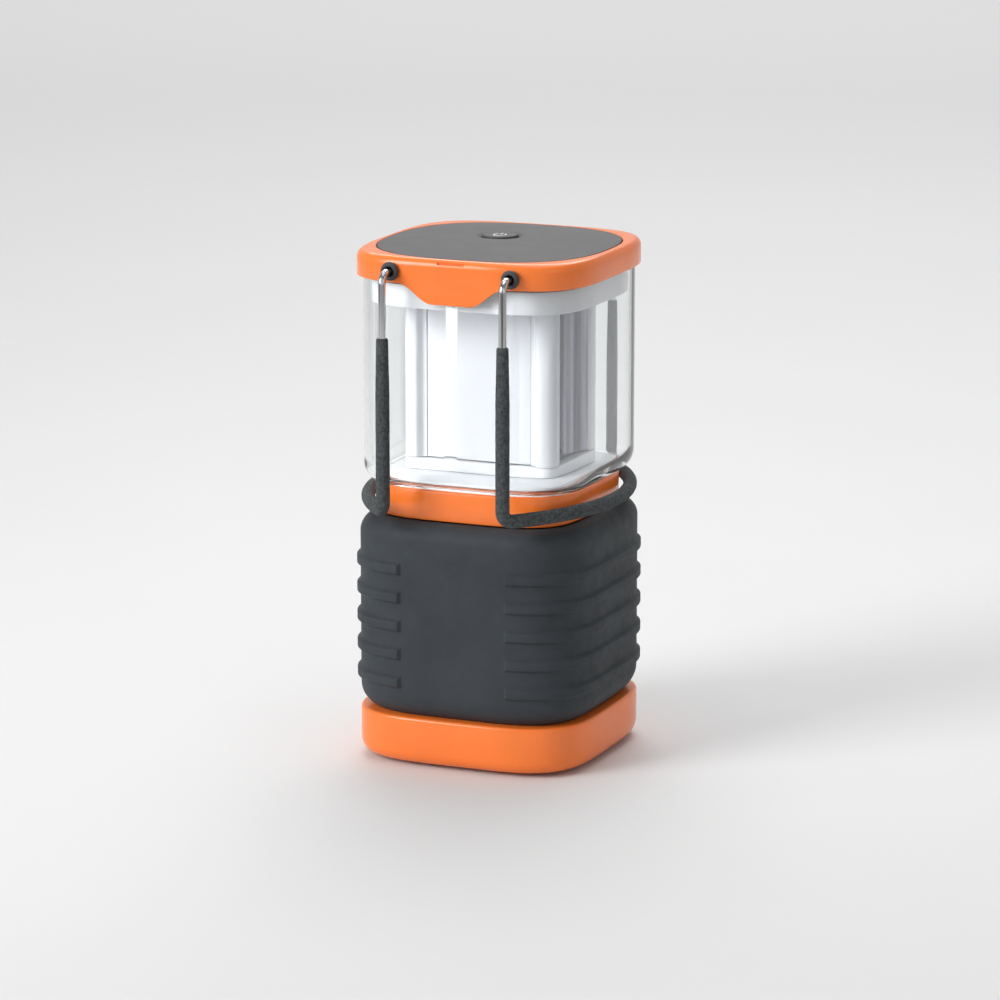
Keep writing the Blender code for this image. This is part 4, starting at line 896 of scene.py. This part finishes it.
class LANTERN_OT_cap(bpy.types.Operator):
    """Model the orange cap with its tabs, the top plate, the button and the pivot bushes"""

    bl_idname = "lantern.cap"
    bl_label = "Cap"

    def execute(self, context):
        self.cap()
        self.plate()
        self.button()
        self.spring()
        self.bushes()
        return {"FINISHED"}

    def cap(self):
        """The shell, with a tab front and back, a notch over each tab and four bush holes."""
        size = sizes()
        half, top = high("cap").x, high("cap").z
        rim = low("cap").z + size.tab_drop
        plate = high("top_plate").x
        deck = low("top_plate").z - 0.3 * MM
        lens = high("lens")
        groove, above = lens.x + 0.3 * MM, lens.z + 0.3 * MM
        inner = lens.x - 2.4 * MM
        rows = [(groove, rim, BOWED), (half - 0.5 * MM, rim, BOWED)]
        rows += [(half - 0.15 * MM, rim + 0.15 * MM, BOWED), (half, rim + 0.5 * MM, BOWED)]
        brow_in, brow_down = 2.6 * MM, 3.2 * MM
        for sine, cosine in quarter_turn(10):
            rows.append((half - brow_in * (1 - cosine), top - brow_down * (1 - sine), BOWED))
        rows += [
            (plate + 0.6 * MM, top, PLATE),
            (plate + 0.3 * MM, top - 0.3 * MM, PLATE),
            (plate + 0.3 * MM, deck, PLATE),
            (2.6 * MM, deck, ROUND),
            (2.6 * MM, deck - 1.5 * MM, ROUND),
            (inner, deck - 1.5 * MM, BOWED),
            (inner, above, BOWED),
            (groove, above, BOWED),
        ]
        cap = drawn_up("cap_shell", rows, True)
        foot, flare, steps = 7.6 * MM, 14 * MM, 18
        bottom = rim - size.tab_drop
        right = []
        for i in range(steps + 1):
            share = i / steps
            rise = size.tab_drop * (1 - math.cos(math.pi * share)) / 2
            right.append((foot + flare * share, bottom + rise + 0.01 * MM * share))
        right.append((foot + flare, rim + 2.4 * MM))
        outline = right + [(-x, z) for x, z in reversed(right)]
        for sign in (-1, 1):
            near = sign * (groove + 0.1 * MM)
            far = sign * (half - 0.15 * MM)
            tab = prism("tab", [(x, near, z) for x, z in outline], (0, far - near, 0))
            cut(cap, tab, "UNION")
            start, end = sorted((sign * (half - 1.1 * MM), sign * (half + 3 * MM)))
            notch_x, notch_low, notch_high = 5.5 * MM, top - 1.9 * MM, top - 0.9 * MM
            cut(cap, brick("notch", (-notch_x, start, notch_low), (notch_x, end, notch_high)))
        for corner in CORNERS:
            node = "pivot_bush_" + corner
            depth = min(abs(low(node).y), abs(high(node).y)) - 0.3 * MM
            hole = post("hole", 0, 0, 3.0 * MM, depth, half + 5 * MM)
            hole.data.transform(facing_out(middle_of(node)))
            cut(cap, hole)
        weld(cap)
        smooth(cap, 38)
        done(cap, "lantern", "orange_abs", "cap")

    def plate(self):
        """The domed top plate, with a dished well for the button."""
        half, bottom, top = high("top_plate").x, low("top_plate").z, high("top_plate").z
        edge = high("cap").z
        rise = top - edge
        well = 7.3 * MM
        rows = [(half, bottom, PLATE), (half, edge - 0.4 * MM, PLATE), (half - 0.1 * MM, edge, PLATE)]
        for i in range(1, 13):
            share = i / 12
            width = half - (half - well - 3 * MM) * share
            power = PLATE + (ROUND - PLATE) * share
            rows.append((width, edge + rise * (1 - (1 - share) ** 2.2), power))
        rows += [
            (well + 1.6 * MM, top, ROUND),
            (well + 1.1 * MM, top - 0.35 * MM, ROUND),
            (well + 0.3 * MM, top - 0.45 * MM, ROUND),
            (well, top - 0.75 * MM, ROUND),
            (well, bottom, ROUND),
        ]
        plate = drawn_up("dome_plate", rows, True)
        smooth(plate, 40)
        done(plate, "lantern", "charcoal_abs", "top_plate")

    def button(self):
        """The button on its stem, with a raised power symbol on its dished top."""
        bottom, top = low("power_button").z, high("power_button").z
        seat = top - 2.7 * MM
        radius, stem, edge = 7 * MM, 2.25 * MM, 0.8 * MM
        rows = [(1.9 * MM, bottom, ROUND), (stem, bottom + 0.3 * MM, ROUND)]
        rows += [(stem, seat, ROUND), (radius, seat, ROUND)]
        for sine, cosine in quarter_turn(8):
            rows.append((radius - edge * (1 - cosine), top - edge * (1 - sine), ROUND))
        for i in range(1, 8):
            share = i / 8
            width = (radius - MM) * (1 - share) + 0.2 * MM
            rows.append((width, top - 0.35 * MM * (1 - (1 - share) ** 2), ROUND))
        button = drawn_up("push_button", rows, count=96)
        smooth(button)
        done(button, "power_button", "charcoal_abs", "power_button")
        mark_low, mark_high = top - 0.36 * MM, top - 0.08 * MM
        outline = []
        gap, steps = math.radians(34), 40
        for way, arc in ((1, 2.7 * MM), (-1, 2.1 * MM)):
            for i in range(steps + 1):
                angle = math.pi / 2 + way * gap + way * (2 * math.pi - 2 * gap) * i / steps
                outline.append((arc * math.cos(angle), arc * math.sin(angle), mark_low))
        ring = prism("power_mark_ring", outline, (0, 0, mark_high - mark_low))
        done(ring, "power_button", "printed_mark")
        wide, start, end = 0.3 * MM, 0.7 * MM, 3.3 * MM
        bar = brick("power_mark_bar", (-wide, start, mark_low), (wide, end, mark_high), 0.05 * MM)
        done(bar, "power_button", "printed_mark")

    def spring(self):
        """Coil under the button, built at its resting length; the real coil shortens by the button's travel."""
        spring_low, spring_high = low("button_spring"), high("button_spring")
        wire = 0.3 * MM
        radius = spring_high.x - wire
        bottom, top = spring_low.z + wire, spring_high.z - wire
        turns, count = 2, 96
        points = []
        for i in range(count + 1):
            angle = 2 * math.pi * turns * i / count
            height = bottom + (top - bottom) * i / count
            points.append(Vector((radius * math.cos(angle), radius * math.sin(angle), height)))
        spring = tube("press_spring", points, [wire] * len(points))
        smooth(spring, 50)
        done(spring, "lantern", "bright_steel", "button_spring")
        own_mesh(spring)

    def bushes(self):
        """Flanged bushes that the handle wires turn in."""
        radius, flange, bore = 2.7 * MM, 3.6 * MM, 1.9 * MM
        node = "pivot_bush_back_right"
        start, end = low(node).y, high(node).y
        face = end - 1.8 * MM
        rows = [
            (radius, start, ROUND),
            (radius, face, ROUND),
            (flange - 0.2 * MM, face, ROUND),
            (flange, face + 0.2 * MM, ROUND),
            (flange, face + 0.9 * MM, ROUND),
            (flange - 0.15 * MM, face + 1.3 * MM, ROUND),
            (flange - 0.6 * MM, end, ROUND),
            (bore + 0.3 * MM, end, ROUND),
            (bore, end - 0.3 * MM, ROUND),
            (bore, start, ROUND),
        ]
        bush = drawn_up("bush", rows, True, 48)
        smooth(bush, 50)
        at_corners(bush, "bush_", "pivot_bush_", "charcoal_abs", facing_out)


# ---- handles --------------------------------------------------------------------------------------


def bend(before, corner, after, radius):
    """Points round a bend of a wire, in place of its sharp corner."""
    steps = 10
    into, out = (corner - before).normalized(), (after - corner).normalized()
    turn = into.angle(out)
    start = corner - into * radius * math.tan(turn / 2)
    inward = (out - into * into.dot(out)).normalized()
    points = []
    for i in range(steps + 1):
        part = turn * i / steps
        points.append(start + into * radius * math.sin(part) + inward * radius * (1 - math.cos(part)))
    return points


def tube(name, points, radii):
    """A round bar along points, swept as a curve and turned into a mesh."""
    curve = bpy.data.curves.new(name, "CURVE")
    curve.dimensions = "3D"
    curve.bevel_depth = 1.0
    curve.bevel_resolution = 7
    curve.use_fill_caps = True
    line = curve.splines.new("POLY")
    line.points.add(len(points) - 1)
    for knot, place, radius in zip(line.points, points, radii):
        knot.co = (*place, 1)
        knot.radius = radius
    piece = bpy.data.objects.new(name, curve)
    bpy.context.scene.collection.objects.link(piece)
    only(piece)
    bpy.ops.object.convert(target="MESH")
    bpy.ops.object.mode_set(mode="EDIT")
    bpy.ops.mesh.select_all(action="SELECT")
    bpy.ops.mesh.remove_doubles(threshold=SAME)
    bpy.ops.mesh.normals_make_consistent(inside=False)
    bpy.ops.object.mode_set(mode="OBJECT")
    return bpy.context.object


class LANTERN_OT_handles(bpy.types.Operator):
    """Bend both handle wires and slip their foam grips on"""

    bl_idname = "lantern.handles"
    bl_label = "Handles"

    def execute(self, context):
        size = sizes()
        for side, sign in (("left", -1), ("right", 1)):
            wire_node, foam_node = side + "_bail_wire", side + "_foam_grip"
            body = side + "_handle"
            wire_low, wire_high = low(wire_node), high(wire_node)
            bar_x = max(abs(wire_low.x), abs(wire_high.x)) - size.wire_radius
            arm_y = (wire_high.y - wire_low.y) / 2 - size.wire_radius
            bar_z = wire_low.z + size.wire_radius
            pivot_x, _, pivot_z = joint_named(body + "_swing")["pos_m"]
            arm_x = abs(pivot_x)
            grip_top = high(foam_node).z
            end_y = abs(low("pivot_bush_front_left").y) - 3.1 * MM
            points = self.path(sign, arm_x, bar_x, arm_y, pivot_z, bar_z, grip_top, end_y)
            wire = tube(side + "_wire", points, [size.wire_radius] * len(points))
            soften(wire, 0.25 * MM, 2, 60)
            smooth(wire, 40)
            done(wire, body, "bright_steel", wire_node)
            self.grip(side, body, points, grip_top, foam_node)
        return {"FINISHED"}

    def path(self, sign, arm_x, bar_x, arm_y, pivot_z, bar_z, grip_top, end_y):
        """The wire's centre line: in at the pivot, down, along the bowed bar and back up."""
        size = sizes()
        centre_x = (bar_x**2 - arm_x**2 - arm_y**2) / (2 * (bar_x - arm_x))
        radius = bar_x - centre_x
        sweep = math.asin(arm_y / radius)
        steps = 44
        bar = []
        for i in range(steps + 1):
            angle = sweep * (2 * i / steps - 1)
            x = sign * (centre_x + radius * math.cos(angle))
            bar.append(Vector((x, radius * math.sin(angle), bar_z)))
        front_end = Vector((sign * arm_x, -end_y, pivot_z))
        front_top = Vector((sign * arm_x, -arm_y, pivot_z))
        front = [front_end] + bend(front_end, front_top, bar[0], size.wire_bend)
        drops = [0, 0.3, 0.8] + [2 + 1.6 * i for i in range(36)]
        arm = [Vector((sign * arm_x, -arm_y, grip_top - drop * MM)) for drop in drops]
        corner = bend(front_top, bar[0], bar[2], size.wire_bend)
        clear = [point for point in bar if abs(point.y) < abs(corner[-1].y) - 0.8 * MM]
        half = front + arm + corner
        mirrored = [Vector((point.x, -point.y, point.z)) for point in reversed(half)]
        return half + clear + mirrored

    def grip(self, side, body, points, grip_top, node):
        """Foam round the wire, a little thinner at its cut ends and never quite even."""
        size = sizes()
        inside = [i for i, point in enumerate(points) if point.z <= grip_top + SAME]
        run = points[inside[0] : inside[-1] + 1]
        last = len(run) - 1
        arm_y = 0.9 * max(abs(point.y) for point in run)
        radii = []
        for i, point in enumerate(run):
            drop = grip_top - point.z
            uneven = math.sin(i * 1.7) + math.sin(i * 2.9 + 1) + math.sin(i * 0.61)
            radius = size.foam_radius - 0.05 * MM + 0.016 * MM * uneven
            if abs(point.y) > arm_y:
                radius -= 0.42 * MM * max(0.0, 1 - drop / (22 * MM))
            if i in (0, last):
                radius -= 0.45 * MM
            elif i in (1, last - 1):
                radius -= 0.12 * MM
            radii.append(radius)
        foam = tube(side + "_foam", run, radii)
        past = Vector((0, 0, MM))
        through = [run[0] + past] + run + [run[-1] + past]
        cut(foam, tube("bore", through, [size.wire_radius + 0.12 * MM] * len(through)))
        smooth(foam, 50)
        done(foam, body, "charcoal_foam", node)


# ---- battery pack ---------------------------------------------------------------------------------


class LANTERN_OT_pack(bpy.types.Operator):
    """Add the tongues and contacts inside the battery pack's sockets"""

    bl_idname = "lantern.pack"
    bl_label = "Battery pack"

    def execute(self, context):
        port_low, port_high = low("output_port"), high("output_port")
        middle = (port_low.y + port_high.y) / 2
        tongue = brick(
            "output_tongue",
            (port_low.x + 1.0 * MM, middle + 0.3 * MM, port_low.z + 1.2 * MM),
            (port_high.x - 1.0 * MM, middle + 2.0 * MM, port_high.z - 0.8 * MM),
            0.15 * MM,
        )
        smooth(tongue)
        done(tongue, "battery_pack", "black_abs")
        for i, x in enumerate((-3.5, -1.2, 1.2, 3.5)):
            contact = brick(
                "output_contact_%d" % (i + 1),
                ((x - 0.5) * MM, middle + 0.1 * MM, port_low.z + 1.8 * MM),
                ((x + 0.5) * MM, middle + 0.29 * MM, port_high.z - 2 * MM),
                0.05 * MM,
            )
            done(contact, "battery_pack", "gold_contact")
        port_low, port_high = low("charge_port"), high("charge_port")
        middle = (port_low.y + port_high.y) / 2
        tongue = brick(
            "charge_tongue",
            (port_low.x + 1.6 * MM, middle - 0.25 * MM, port_low.z + 0.8 * MM),
            (port_high.x - 1.6 * MM, middle + 0.25 * MM, port_high.z - 0.8 * MM),
            0.08 * MM,
        )
        smooth(tongue)
        done(tongue, "battery_pack", "black_abs")
        return {"FINISHED"}


# ---- stage ----------------------------------------------------------------------------------------


def area_light(name, place, aim, width, height, power, spread=180):
    """A rectangular lamp at a place, turned to its aim, with its spread in degrees."""
    light = bpy.data.lights.new(name, "AREA")
    light.shape = "RECTANGLE"
    light.size, light.size_y = width, height
    light.energy = power
    light.spread = math.radians(spread)
    lamp = bpy.data.objects.new(name, light)
    bpy.context.scene.collection.objects.link(lamp)
    lamp.location = place
    lamp.rotation_euler = (Vector(aim) - Vector(place)).to_track_quat("-Z", "Y").to_euler()


class LANTERN_OT_stage(bpy.types.Operator):
    """Set the camera, the studio lights and the pale floor"""

    bl_idname = "lantern.stage"
    bl_label = "Stage"

    def execute(self, context):
        azimuth, elevation, distance = math.radians(22.9), math.radians(12.6), 1.788
        aim = Vector((0, 0, 0.098))
        level = math.cos(elevation)
        away = Vector((math.sin(azimuth) * level, -math.cos(azimuth) * level, math.sin(elevation)))
        data = bpy.data.cameras.new("camera")
        data.lens = 164.9
        data.sensor_width = 36
        data.clip_start, data.clip_end = 0.05, 50
        camera = bpy.data.objects.new("camera", data)
        bpy.context.scene.collection.objects.link(camera)
        camera.location = aim + away * distance
        camera.rotation_euler = (-away).to_track_quat("-Z", "Y").to_euler()
        bpy.context.scene.camera = camera

        bpy.ops.object.select_all(action="DESELECT")
        bpy.ops.mesh.primitive_plane_add(size=8, location=(0, 0, 0))
        floor = bpy.context.object
        floor.name = "floor"
        paint = Finish("floor_paint", colours().floor, 0.75)
        paint.rough(paint.noise(6, 3), 0.7, 0.85)
        floor.data.materials.append(paint.material)

        self.surroundings()
        body = (0, 0, 0.1)
        area_light("key", (-1.0, -1.35, 0.9), body, 0.9, 1.1, 5.0, 70)
        area_light("fill", (1.5, -0.9, 0.7), body, 0.5, 1.2, 0.15, 60)
        area_light("top", (0.0, 0.1, 1.3), (0, 0.1, 0), 1.0, 1.0, 1.2, 90)
        area_light("back", (-0.5, 1.6, 1.5), body, 1.4, 1.0, 3.5, 110)
        area_light("background", (-1.0, 2.6, 2.4), (-1.0, 2.6, 0), 3.2, 3.2, 60)
        bpy.context.scene.view_settings.view_transform = "Standard"
        return {"FINISHED"}

    def surroundings(self):
        """A pale sky, brighter towards the horizon."""
        world = bpy.data.worlds.new("studio")
        world.use_nodes = True
        tree = world.node_tree
        place = tree.nodes.new("ShaderNodeTexCoord")
        split = tree.nodes.new("ShaderNodeSeparateXYZ")
        ramp = tree.nodes.new("ShaderNodeMapRange")
        ramp.interpolation_type = "SMOOTHSTEP"
        limits = {"From Min": 0.05, "From Max": 0.8, "To Min": 0.62, "To Max": 0.36}
        for key, value in limits.items():
            ramp.inputs[key].default_value = value
        sky = tree.nodes["Background"]
        sky.inputs["Color"].default_value = (1, 1, 1, 1)
        tree.links.new(place.outputs["Generated"], split.inputs["Vector"])
        tree.links.new(split.outputs["Z"], ramp.inputs["Value"])
        tree.links.new(ramp.outputs["Result"], sky.inputs["Strength"])
        bpy.context.scene.world = world


# ---- panel ----------------------------------------------------------------------------------------

STEPS = (
    LANTERN_OT_stage,
    LANTERN_OT_finishes,
    LANTERN_OT_base,
    LANTERN_OT_grip,
    LANTERN_OT_collar,
    LANTERN_OT_lens,
    LANTERN_OT_column,
    LANTERN_OT_cap,
    LANTERN_OT_handles,
    LANTERN_OT_pack,
)


class LANTERN_PT_panel(bpy.types.Panel):
    """Sizes, colours and building steps of the lantern"""

    bl_idname = "LANTERN_PT_panel"
    bl_label = "Camping lantern"
    bl_space_type = "VIEW_3D"
    bl_region_type = "UI"
    bl_category = "Lantern"

    def draw(self, context):
        for group in (context.scene.lantern_sizes, context.scene.lantern_colours):
            for key in group.__annotations__:
                self.layout.prop(group, key)
        for step in STEPS:
            self.layout.operator(step.bl_idname)


CLASSES = (LanternSizes, LanternColours, *STEPS, LANTERN_PT_panel)


def register():
    for entry in CLASSES:
        bpy.utils.register_class(entry)
    bpy.types.Scene.lantern_sizes = PointerProperty(type=LanternSizes)
    bpy.types.Scene.lantern_colours = PointerProperty(type=LanternColours)


def unregister():
    del bpy.types.Scene.lantern_colours
    del bpy.types.Scene.lantern_sizes
    for entry in reversed(CLASSES):
        bpy.utils.unregister_class(entry)


def main():
    register()
    bpy.ops.lantern.stage()
    bpy.ops.lantern.finishes()
    bpy.ops.lantern.base()
    bpy.ops.lantern.grip()
    bpy.ops.lantern.collar()
    bpy.ops.lantern.lens()
    bpy.ops.lantern.column()
    bpy.ops.lantern.cap()
    bpy.ops.lantern.handles()
    bpy.ops.lantern.pack()


if __name__ == "__main__":
    main()
